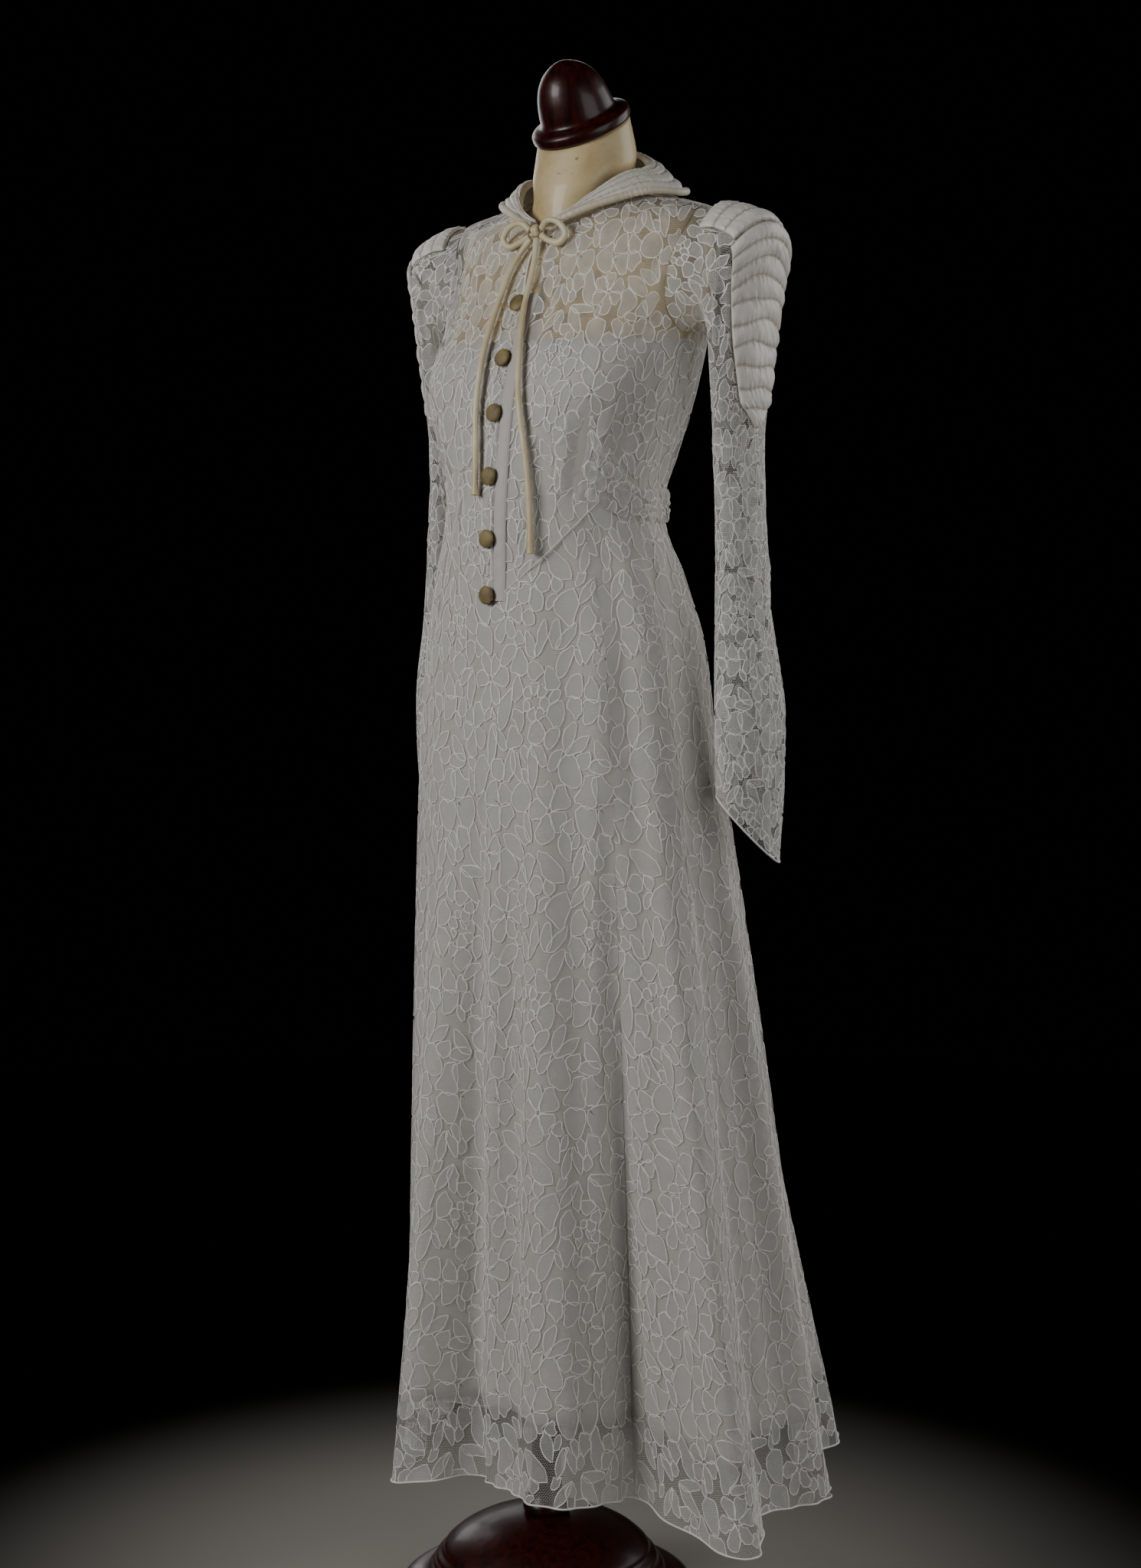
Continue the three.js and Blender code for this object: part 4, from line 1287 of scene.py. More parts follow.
@dataclass
class Skirt:
    """Four lace gores that hang from the pointed waist seam, over the slip."""

    figure: Figure
    lace: LaceWork
    hangs_from: tuple[str, ...] = ("slip", "bodice_front_left", "bodice_front_right", "bodice_back")
    step: float = 1.0
    row_step: float = 9.0
    hang_length: float = 870.0
    body_length: float = 230.0
    mesh_rows: int = 118
    seam_gap: float = 0.3
    repeat_shift: tuple[float, float] = (31.0, 53.0)
    ripple_rise: float = 2.4
    ripple_reach: float = 0.035
    gores: tuple[tuple[str, float, float], ...] = (
        ("skirt_front", -35, 50),
        ("skirt_left", 50, 130),
        ("skirt_back", 130, 215),
        ("skirt_right", 215, 325),
    )
    creases: tuple[Crease, ...] = Crease.rows(
        (-26, 1100, -29, 150, 26, 7.5), (-13, 1060, -9, 130, 19, -8.1), (-4, 900, -4, 130, 11, -9),
        (3, 1000, 4, 130, 12, 7), (47, 900, 48, 130, 12, -9), (54, 950, 56, 130, 12, 7),
        (12, 980, 13, 140, 16, -8.8), (21, 1125, 22, 140, 21, 7.5), (34, 1160, 38, 130, 22, -9.4),
        (43, 1050, 44, 130, 18, 6.9), (57, 1190, 60, 130, 18, -7.5), (66, 1150, 67, 130, 16, 5.6),
        (75, 1140, 76, 120, 19, 6.9), (84, 1180, 84, 120, 14, -6.2), (93, 1120, 93, 110, 21, -8.8),
        (101, 1020, 104, 110, 16, 6.2), (118, 1150, 118, 110, 22, 8.1), (130, 1000, 131, 110, 18, -6.2),
        (143, 1130, 142, 110, 21, -8.1), (163, 1170, 164, 110, 22, 8.1), (176, 1050, 175, 110, 16, -6.2),
        (187, 1150, 186, 110, 19, -8.1), (205, 1080, 206, 110, 21, 7.5), (223, 1150, 224, 110, 21, -8.1),
        (243, 1170, 242, 110, 21, 8.1), (262, 1060, 261, 120, 19, -7.5), (281, 1170, 279, 120, 22, 8.1),
        (299, 1120, 298, 130, 18, -6.9), (316, 1150, 317, 130, 19, 7.5),
    )

    def surface(self, degrees: Array, rise: Array) -> Array:
        """Points of the skirt with its soft folds, at angles and rises."""
        points = self.figure.dress(degrees, rise)
        radius = np.hypot(points[..., 0], points[..., 1] - self.figure.hem_centre * np.clip(-rise, 0, 1))
        lift = sum(fold.lift(degrees, points[..., 2], radius) for fold in self.creases)
        fade = np.exp(-(((rise + 1) / self.ripple_reach) ** 2))
        ripple = np.sin(degrees * 0.92 + 1.7 * np.sin(degrees / 9.0)) * fade
        return raised(points, lift + self.ripple_rise * ripple)

    def cloth(self, first: float, last: float) -> ClothMap:
        """One gore as cloth, cut along the waist seam."""
        figure = self.figure
        top = figure.rise_of(figure.waist_side)
        hang = np.linspace(-1, 0, int(self.hang_length / self.row_step) + 1)
        body = np.linspace(0, top, int(self.body_length / self.row_step) + 1)[1:]
        rises = np.concatenate([hang, body])
        columns = np.linspace(first, last, int(round((last - first) / self.step)) + 1)
        degrees, rise = np.meshgrid(columns, rises)
        points = self.surface(degrees, rise)
        seam = figure.rise_of(figure.seam_level(columns) - self.seam_gap)
        high = np.interp(seam, rises, np.arange(len(rises)))
        return ClothMap(points, high=high)

    def build(self) -> None:
        """Makes the gores."""
        for number, (name, first, last) in enumerate(self.gores):
            cloth = self.cloth(first, last)
            rows, columns = self.mesh_rows, cloth.points.shape[1]
            offset = tuple(shift * number for shift in self.repeat_shift)
            self.lace.piece(name, cloth, rows, columns, [name], self.hangs_from, "hung", offset)


@dataclass
class Slip:
    """Plain crepe slip under the lace, from above the bust to below the knee."""

    figure: Figure
    skirt: Skirt
    finishes: Finishes
    hem_rise: float = -0.895
    top: float = 1400.0
    inset: float = 1.7
    wall: float = 1.0
    hang_rows: int = 46
    body_rows: int = 34
    columns: int = 200

    def build(self) -> Object:
        """Makes the slip as a thin closed wall."""
        figure = self.figure
        hang = np.linspace(self.hem_rise, 0, self.hang_rows)
        body = np.linspace(0, figure.rise_of(self.top), self.body_rows)
        rises = np.concatenate([hang, body[1:]])
        around = np.linspace(*figure.hem_folds[[0, -1], 0], self.columns, endpoint=False)
        degrees, rise = np.meshgrid(around, rises)
        points = self.skirt.surface(degrees, rise)
        outer, inner = (raised(points, -inset, True) for inset in (self.inset, self.inset + self.wall))
        rows, columns = points.shape[:2]
        count = rows * columns
        k = np.arange(columns)
        after = (k + 1) % columns
        top = (rows - 1) * columns
        faces = np.concatenate([
            grid_faces(rows, columns, closes_round=True),
            grid_faces(rows, columns, count, closes_round=True)[:, ::-1],
            np.stack([count + k, count + after, after, k], 1),
            np.stack([top + k, top + after, count + top + after, count + top + k], 1),
        ])
        walls = np.concatenate([outer.reshape(-1, 3), inner.reshape(-1, 3)])
        slip = make_piece("slip", walls, [faces], [self.finishes.slip])
        dress_piece(slip, "slip_crepe", "slip_skirt", "slip_top")
        around = np.linalg.norm(np.diff(np.concatenate([outer, outer[:, :1]], 1), axis=1), axis=2).sum(1)
        return slip


@dataclass
class Bodice:
    """Lace fronts and back from the waist seam to the neckline, with a keyhole under the collar."""

    figure: Figure
    lace: LaceWork
    seam_gap: float = 0.05
    keyhole_bottom: float = 1452.0
    keyhole_top: float = 1556.0
    keyhole_half: float = 5.0
    lowest: float = 1110.0
    shoulder: float = 1500.0
    centre_depth: float = 30.0
    repeat_size: float = 0.85
    body_rows: int = 66
    shoulder_rows: int = 40
    front_columns: int = 90
    back_columns: int = 150
    edge_gap: float = 0.15
    front_creases: tuple[Crease, ...] = Crease.rows(
        (38, 1225, 35, 1312, 7, 4.2), (45, 1235, 43, 1320, 5, -3.6), (52, 1246, 54, 1336, 7, 4.0),
        (60, 1238, 66, 1300, 5, -3.2), (22, 1190, 19, 1300, 9, 2.6), (30, 1200, 28, 1290, 6, -2.4),
        (74, 1250, 80, 1360, 9, 3.4), (66, 1470, 42, 1418, 9, 2.2), (70, 1440, 50, 1385, 8, -2.2),
        (30, 1535, 24, 1450, 9, 1.6), (64, 1500, 60, 1420, 6, 2.6), (58, 1505, 55, 1436, 5, -2.2),
    )
    back_creases: tuple[Crease, ...] = Crease.rows(
        (112, 1240, 118, 1340, 8, 2.4), (131, 1238, 134, 1372, 9, -2.2), (150, 1240, 152, 1330, 8, 2.6),
        (168, 1236, 166, 1350, 9, 2.0), (192, 1238, 195, 1342, 9, -2.2), (210, 1240, 207, 1360, 8, 2.4),
        (231, 1242, 228, 1336, 9, 2.2), (249, 1240, 243, 1350, 8, -2.0), (128, 1500, 150, 1440, 12, 1.8),
        (232, 1500, 208, 1436, 12, 1.8),
    )

    def armhole(self, level: Array) -> Array:
        """How far in degrees the armhole reaches from its middle line at levels."""
        share = (level - self.figure.armhole_level) / (self.figure.armhole_half + 1)
        return self.figure.armhole_reach * np.sqrt(np.clip(1 - share * share, 0, 1))

    def surface(self, degrees: Array, level: Array, creases: Sequence[Crease]) -> Array:
        """Points of the bodice with its soft folds."""
        points = self.figure.point(degrees, level)
        radius = np.hypot(points[..., 0], points[..., 1] - self.centre_depth)
        return raised(points, sum(fold.lift(degrees, level, radius) for fold in creases))

    def levels(self) -> Array:
        """Levels of the bodice's rows, closer where the shoulder turns in."""
        below = np.linspace(self.lowest, self.shoulder, self.body_rows)[:-1]
        return np.concatenate([below, np.linspace(self.shoulder, self.figure.neckline, self.shoulder_rows)])

    def front(self) -> ClothMap:
        """The left front as cloth."""
        figure, levels = self.figure, self.levels()
        columns = np.linspace(0, figure.armhole_angle, self.front_columns)
        degrees, level = np.meshgrid(columns, levels)
        points = self.surface(degrees, level, self.front_creases)
        numbers = np.arange(len(columns))
        share = (levels - self.keyhole_bottom) / (self.keyhole_top - self.keyhole_bottom)
        slit = np.where((share > 0) & (share < 1), np.sin(np.pi * share) * self.keyhole_half, 0)
        slit = slit + self.edge_gap
        left = np.interp(np.degrees(slit / figure.section(levels)[:, 4]), columns, numbers)
        right = np.interp(figure.armhole_angle - self.armhole(levels) - self.seam_gap, columns, numbers)
        low = np.interp(figure.seam_level(columns), levels, np.arange(len(levels)))
        return ClothMap(points, low=low, left=left, right=right)

    def back(self) -> ClothMap:
        """The back as cloth."""
        figure, levels = self.figure, self.levels()
        levels = np.concatenate([[figure.waist_side], levels[levels > figure.waist_side]])
        columns = np.linspace(figure.armhole_angle, 360 - figure.armhole_angle, self.back_columns)
        degrees, level = np.meshgrid(columns, levels)
        points = self.surface(degrees, level, self.back_creases)
        numbers = np.arange(len(columns))
        edge = figure.armhole_angle + self.armhole(levels) + self.seam_gap
        left, right = np.interp(edge, columns, numbers), np.interp(360 - edge, columns, numbers)
        return ClothMap(points, left=left, right=right)

    def build(self) -> None:
        """Makes the fronts and the back."""
        front = self.front()
        rests = ["slip", "form_torso"]
        for name, cloth, rows, columns, offset in (
            ("bodice_front_left", front, 90, 80, (12, 40)),
            ("bodice_front_right", front.mirrored(), 90, 80, (71, 95)),
            ("bodice_back", self.back(), 80, 120, (5, 20)),
        ):
            self.lace.piece(name, cloth, rows, columns, [name], rests, "stretched", offset, self.repeat_size)


@dataclass
class Sleeves:
    """Long lace sleeves: gathered heads at the shoulder, close at the elbow, pointed over the hand."""

    figure: Figure
    lace: LaceWork
    wrist_middle: float = 878.0
    wrist_reach: float = 38.0
    wrist_point: float = 50.0
    armhole_off: float = 1.4
    seam_turn: float = -180.0
    ring_length: float = 90.0
    arm_radius: float = 45.0
    repeat_size: float = 0.7
    last_ring: int = 10
    columns: int = 105
    rings: Array = field(default_factory=lambda: np.array([
        # ring, outer x, outer z, inner x, inner z, centre y, half depth
        [1, 206, 1538, 178, 1403, 76, 50],
        [2, 240, 1520, 180, 1397, 79, 57],
        [3, 236, 1472, 182, 1388, 78, 53],
        [4, 230, 1410, 183, 1370, 77, 48],
        [5, 226, 1345, 184, 1335, 77, 43],
        [6, 224, 1285, 185, 1285, 77, 38],
        [7, 228, 1190, 187, 1190, 78, 38],
        [8, 236, 1090, 187, 1090, 79, 42],
        [9, 246, 1000, 188, 1000, 81, 49],
        [10, 240, 920, 190, 920, 83, 47],
    ], float))
    creases: tuple[Crease, ...] = Crease.rows(
        (-62, 0.9, -60, 4.4, 6, 3.4), (-76, 0.7, -74, 4.0, 5, -3.4), (-90, 0.6, -86, 4.6, 6, 3.6),
        (-106, 0.7, -100, 3.8, 5, -3.2), (-120, 0.7, -112, 3.4, 6, 2.8), (62, 0.9, 60, 4.2, 6, -3.2),
        (78, 0.7, 76, 4.4, 6, 3.4), (94, 0.6, 90, 3.8, 5, -3.0), (110, 0.7, 104, 4.0, 6, 3.0),
        (20, 5.9, -70, 6.5, 8, -2.2), (40, 6.4, -60, 7.1, 8, 2.0), (-30, 7.0, 66, 7.4, 9, 2.2),
        (70, 7.6, -20, 8.3, 9, -2.0), (-76, 5.2, -120, 6.2, 8, 2.2), (96, 5.4, 150, 6.4, 9, 2.2),
        (-40, 8.2, -30, 9.7, 9, 2.6), (10, 8.4, 14, 9.8, 10, -2.8), (58, 8.1, 62, 9.6, 9, 2.6),
        (110, 8.4, 112, 9.6, 9, -2.4), (160, 8.2, 158, 9.7, 10, 2.6), (-100, 8.4, -102, 9.6, 9, -2.6),
    )

    def point(self, turns: Array, ring: Array) -> Array:
        """Points of the left sleeve at angles, from the outer arm by the back, and rings down the arm."""
        turns, ring = np.broadcast_arrays(np.asarray(turns, float), np.asarray(ring, float))
        angle = np.radians(turns)
        row = smooth_rows(self.rings, np.maximum(ring, 1))
        outward = (1 + np.cos(angle)) / 2
        hand = np.clip(ring - (self.last_ring - 1), 0, 1)
        wrist = self.wrist_middle - self.wrist_reach * np.cos(np.radians(turns - self.wrist_point))
        x = mix(row[..., 3], row[..., 1], outward)
        y = row[..., 5] + row[..., 6] * np.sin(angle)
        z = mix(mix(row[..., 4], row[..., 2], outward), wrist, hand)
        arm = np.stack([x, y, z], -1)
        figure = self.figure
        around = figure.armhole_angle + figure.armhole_reach * np.sin(angle)
        level = figure.armhole_level + figure.armhole_half * np.cos(angle)
        seam = figure.point(around, level) + figure.outward(around, level) * self.armhole_off
        return mix(seam, arm, np.clip(ring, 0, 1)[..., None])

    def surface(self, turns: Array, ring: Array) -> Array:
        """The sleeve with its soft folds, whose heights are ring numbers; the grid's rows go up the arm."""
        points = self.point(turns, ring)
        length = self.ring_length
        folds = [
            replace(fold, from_height=fold.from_height * length, to_height=fold.to_height * length)
            for fold in self.creases
        ]
        lift = sum(fold.lift(turns, ring * length, self.arm_radius) for fold in folds)
        fade = np.clip(ring * 2, 0, 1) * np.clip((self.last_ring - ring) * 3, 0.3, 1)
        return raised(points, lift * fade)

    def cloth(self) -> ClothMap:
        """The left sleeve as cloth, opened along the inner arm."""
        last = self.last_ring
        hand, arm, head = np.linspace(last, last - 1, 22), np.linspace(last - 1, 2, 80), np.linspace(2, 0, 36)
        rings = np.concatenate([hand, arm[1:], head[1:]])
        turns = np.linspace(self.seam_turn, self.seam_turn + 360, self.columns)
        turned, ring = np.meshgrid(turns, rings)
        return ClothMap(self.surface(turned, ring), smooth=self.point(turned, ring))

    def build(self) -> None:
        """Makes both sleeves."""
        left = self.cloth()
        for side, cloth, start in (("left", left, (18, 66)), ("right", left.mirrored(), (90, 10))):
            nodes = [f"top_sleeve_{side}", f"under_sleeve_{side}"]
            rests = ["form_torso", f"bodice_front_{side}", "bodice_back"]
            self.lace.piece(f"sleeve_{side}", cloth, 120, 76, nodes, rests, "hung", start, self.repeat_size)


@dataclass
class Trim:
    """What is laid on the bodice's lace: the gathered sash, the placket and the corded waist seam."""

    figure: Figure
    lace: LaceWork
    finishes: Finishes
    clearance: float = 1.6
    front_angle: float = 50.0
    narrow_angle: float = 82.0
    back_angle: float = 179.6
    band: tuple[float, float] = (-12.0, 7.0)
    rim_width: float = 4.0
    rim_drop: float = 1.7
    sash_grid: tuple[int, int] = (25, 170)
    sash_stand: float = 0.8
    pleats: float = 4.2
    pleat_rise: float = 5.0
    pucker_rise: float = 1.2
    pucker_reach: float = 7.0
    front_levels: tuple[float, float] = (1226, 1291)
    side_levels: tuple[float, float] = (1206, 1243)
    strip_levels: tuple[float, float] = (1123, 1450)
    strip_rows: int = 110
    strip_stand: float = 1.8
    pressed_under: float = 4.0
    facing_metres: float = 0.333
    repeat_size: float = 0.85
    seam_cord: float = 0.5
    seam_turns: tuple[float, float] = (3.5, 58)
    facing_folds: tuple[tuple[float, float], ...] = (
        (7, -1.0), (8.4, -0.1), (12, 0.1), (16, -0.1), (18, -0.3), (18.8, -0.8), (19.6, -0.6), (22, -1.8),
    )

    def lifted(self, degrees: Array, level: Array, off: Array | float) -> Array:
        """Points of the figure over a grid, moved out."""
        return raised(self.figure.point(degrees, level), off)

    def sash(self) -> ClothMap:
        """The left half of the sash: wide and gathered in front, narrow over the hip, and on to the back."""
        rows, columns = self.sash_grid
        turns = np.linspace(self.front_angle, self.back_angle, columns)
        turn, up = np.meshgrid(turns, np.linspace(0, 1, rows))
        ease = np.clip((turn - self.front_angle) / (self.narrow_angle - self.front_angle), 0, 1)
        ease = ease * ease * (3 - 2 * ease)
        low, high = (mix(front, side, ease) for front, side in zip(self.front_levels, self.side_levels))
        level = mix(low, high, up)
        across = np.abs(np.sin(np.pi * (up * self.pleats + 0.2 * np.sin(np.radians(turn * 3))))) ** 0.6
        drawn = np.sin(np.radians(turn * 90 + 40 * np.sin(np.radians(turn * 11))))
        pucker = drawn * np.exp(-(((turn - self.front_angle) / self.pucker_reach) ** 2))
        soft = np.sin(np.pi * up) ** 0.6
        folded = self.pleat_rise * across + self.pucker_rise * pucker
        off = self.clearance + self.sash_stand + soft * folded
        return ClothMap(self.lifted(turn, level, off))

    def strip(self, across: Array, rise: Array) -> Array:
        """Points of an upright strip on the front, at lengths across it and rises off it."""
        grid, level = np.meshgrid(across, np.linspace(*self.strip_levels, self.strip_rows))
        degrees = np.degrees(grid / self.figure.section(level)[..., 4])
        wrinkle = 0.2 * np.sin(level / 3.1 + 1.3 * np.sin(level / 21.0)) * (np.abs(rise[None, :]) < 0.25)
        return self.lifted(degrees, level, self.strip_stand + rise[None, :] + wrinkle)

    def placket(self) -> ClothMap:
        """The band that the buttons are on."""
        across = np.linspace(*self.band, 30)
        rim = np.clip(1 - np.minimum(across - across[0], across[-1] - across) / self.rim_width, 0, 1)
        return ClothMap(self.strip(across, 0.3 - self.rim_drop * rim ** 1.5))

    def facing(self) -> None:
        """The pressed folds of plain crepe beside the band."""
        folds = np.array(self.facing_folds)
        across = np.linspace(folds[0, 0], folds[-1, 0], 26)
        points = self.strip(across, np.interp(across, folds[:, 0], folds[:, 1]))
        faces = grid_faces(*points.shape[:2])
        piece = make_piece("placket_facing", points.reshape(-1, 3), [faces], [self.finishes.slip])
        dress_piece(piece, "slip_crepe")

    def seam_line(self, first: float, last: float, count: int, off: float) -> Array:
        """Points of the pointed waist seam between two angles, moved out."""
        turn = np.linspace(first, last, count)
        level = self.figure.seam_level(turn)
        grid = np.stack([level - 1, level + 1])
        return self.lifted(np.stack([turn, turn]), grid, off).mean(0)

    def build(self) -> None:
        """Makes the sash, the placket and the seam cords."""
        sash, size = self.sash(), self.repeat_size
        for side, cloth in (("left", sash), ("right", sash.mirrored())):
            name, rests = f"sash_{side}", [f"bodice_front_{side}", "bodice_back"]
            self.lace.piece(name, cloth, *self.sash_grid, [name], rests, "gathered", (7, 33), size)
        rests = ["bodice_front_left", "bodice_front_right"]
        placket, rows = self.placket(), self.strip_rows
        self.lace.piece("placket", placket, rows, 24, ["placket"], rests, "folded", (10, 10), size)
        self.facing()
        first, last = self.seam_turns
        for side, sign in (("left", 1), ("right", -1)):
            path = self.seam_line(first * sign, last * sign, 80, 0.1)
            tube_piece(f"waist_seam_{side}", path, self.seam_cord, self.finishes.cording, "lace")


# Quilted satin

@dataclass
class Quilting:
    """Makes padded satin pieces: soft ribs between stitched rows, pulled into puckers by the stitches."""

    finishes: Finishes
    rib_rise: float = 2.7
    pucker_rise: float = 1.3
    stitch_reach: float = 0.29
    under_step: int = 6

    def relief(self, across: Array, along: Array, ribs: int) -> Array:
        """Height of the quilted face.

        Args:
            across: Shares of the way across the ribs, 0 to 1.
            along: Lengths along the ribs, in millimetres.
            ribs: Number of ribs.

        Returns:
            Heights above the stitched rows.
        """
        # The numbers under along are wave lengths in mm; steps by row and rib keep the rows from matching.
        count = across * ribs
        row, rib = np.floor(count + 0.5), np.floor(count)
        puff = np.abs(np.sin(np.pi * count)) ** 0.55
        near = np.exp(-(((count - row) / self.stitch_reach) ** 2))
        stray = 1.7 * np.sin(along / 12.7 + 2.3 * row) + 1.1 * np.sin(along / 5.3 + 4.1 * row)
        lean = 3.1 * (count - row) * np.sin(along / 19.0 + 1.1 * row)
        drawn = 0.6 * np.sin(0.74 * along + 5.3 * row + stray + lean)
        fine = 0.4 * np.sin(1.37 * along + 8.9 * row - 0.8 * stray + lean)
        strength = 0.6 + 0.4 * np.sin(along / 16.0 + 1.9 * row) * np.sin(along / 7.1 + 0.7 * row)
        pulled = (drawn + fine) * strength * near * np.clip(puff * 4, 0.15, 1)
        middle = np.sin(np.pi * count) ** 2
        lumps = np.sin(along / 6.5 + 2.1 * rib + 0.8 * np.sin(along / 15.0 + rib)) * middle
        slant = np.sin(along / 2.6 + 2.6 * (count - rib) + 3.7 * rib + 1.4 * np.sin(along / 9.7 + 1.7 * rib))
        wrinkle = slant * middle * np.clip(np.sin(along / 23.0 + 2.9 * rib), 0, 1)
        return self.rib_rise * puff * (1 + 0.16 * lumps) + self.pucker_rise * (pulled + 0.35 * wrinkle)

    def pad(
        self,
        name: str,
        base: Array,
        ribs: int,
        standing: float,
        wall: float,
        nodes: Sequence[str],
        across: Array | None = None,
        edge_rise: float = 0.0,
    ) -> Object:
        """Makes a padded patch on a grid of points.

        Args:
            name: The piece's name.
            base: Points of the form that it lies on, rows going up across the ribs.
            ribs: Number of ribs.
            standing: Distance of its underside from the form.
            wall: Least thickness.
            nodes: The solids that it stands for.
            across: Share of the way across the ribs of each row of points; beyond 1 the cloth is plain.
            edge_rise: How much higher the first rib is than the rest, as a share.

        Returns:
            The piece.
        """
        rows, columns = base.shape[:2]
        gaps = np.linalg.norm(np.diff(base, axis=1), axis=2)
        along = np.concatenate([np.zeros((rows, 1)), np.cumsum(gaps, 1)], 1)
        across = np.linspace(0, 1, rows) if across is None else across
        share = across[:, None] * np.ones((1, columns))
        more = np.where(share < 1 / ribs, 1 + edge_rise, 1.0)
        rise = self.relief(share, along, ribs) * (share <= 1) * more
        edge = np.minimum(np.arange(columns), np.arange(columns)[::-1]) / 4.0
        rise = rise * np.clip(edge, 0, 1)[None, :] ** 0.5
        outer = raised(base, standing + wall + rise)
        kept = np.unique(np.append(np.arange(0, rows, self.under_step), rows - 1))
        inner = raised(base, standing)[kept]
        count, k = rows * columns, np.arange(columns - 1)
        top, under_top = count - columns, count + (len(kept) - 1) * columns
        faces = np.concatenate([
            grid_faces(rows, columns),
            grid_faces(len(kept), columns, count)[:, ::-1],
            np.stack([count + k, count + k + 1, k + 1, k], 1),
            np.stack([top + k, top + k + 1, under_top + k + 1, under_top + k], 1),
        ])
        sides = []
        for a in range(len(kept) - 1):
            first, last = count + a * columns, count + (a + 1) * columns - 1
            for row in range(kept[a], kept[a + 1]):
                sides.append([first, row * columns, (row + 1) * columns])
                sides.append([last, (row + 2) * columns - 1, (row + 1) * columns - 1])
            above = kept[a + 1]
            sides.append([first, above * columns, first + columns])
            sides.append([last, last + columns, (above + 1) * columns - 1])
        # The second cloth coordinate counts the ribs, which places the satin's painted shade along the
        # stitched rows; the underside gets 0.5, between rows, and no shade.
        rib_row = np.where(share <= 1, share * ribs, 0.5)
        uv = np.concatenate([
            np.stack([along * MM, rib_row], -1).reshape(-1, 2),
            np.stack([along[kept] * MM, np.full((len(kept), columns), 0.5)], -1).reshape(-1, 2),
        ])
        points = np.concatenate([outer.reshape(-1, 3), inner.reshape(-1, 3)])
        piece = make_piece(name, points, [faces, np.array(sides)], [self.finishes.satin], uv=uv)
        dress_piece(piece, "quilted_satin", *nodes)
        return piece


@dataclass
class Shoulders:
    """Pointed quilted epaulettes on the sleeve heads, and the strips that run from them to the collar."""

    sleeves: Sleeves
    quilting: Quilting
    ribs: int = 10
    top: float = 2.04
    tip: float = 5.7
    top_spread: float = 58.0
    tip_spread: float = 24.0
    taper: float = 2.6
    point_share: float = 0.13
    tip_width: float = 0.08
    uneven: float = 0.009
    grid: tuple[int, int] = (141, 81)
    standing: float = 2.2
    strip_ribs: int = 3
    strip_rings: tuple[float, float] = (1.97, 0.5)
    strip_spread: float = 51.4
    strip_grid: tuple[int, int] = (37, 91)
    strip_standing: float = 0.8
    wall: float = 2.0

    def epaulette(self) -> Array:
        """Points of the left sleeve under its epaulette, from the tip up."""
        rows, columns = self.grid
        across, share = np.meshgrid(np.linspace(-1, 1, columns), np.linspace(1, 0, rows))
        drift = self.uneven * np.sin(4.1 * across + 21 * share) * np.sin(np.pi * share)
        ring = mix(self.top, self.tip, share + drift)
        pointed = np.clip((1 - share) / self.point_share, 0, 1) ** 0.8
        spread = mix(self.top_spread, self.tip_spread, share ** self.taper)
        spread = spread * mix(self.tip_width, 1.0, pointed)
        return self.sleeves.point(across * spread, ring)

    def strip(self) -> Array:
        """Points of the left sleeve's head under the strip."""
        rows, columns = self.strip_grid
        across = np.linspace(-self.strip_spread, self.strip_spread, columns)
        across, ring = np.meshgrid(across, np.linspace(*self.strip_rings, rows))
        return self.sleeves.point(across, ring)

    def build(self) -> None:
        """Makes the left pieces and their mirror images."""
        for name, left, ribs, standing in (
            ("epaulette", self.epaulette(), self.ribs, self.standing),
            ("shoulder_strip", self.strip(), self.strip_ribs, self.strip_standing),
        ):
            for side, points in (("left", left), ("right", left[:, ::-1] * MIRROR)):
                solid = f"{name}_{side}"
                self.quilting.pad(f"{solid}_quilting", points, ribs, standing, self.wall, [solid])


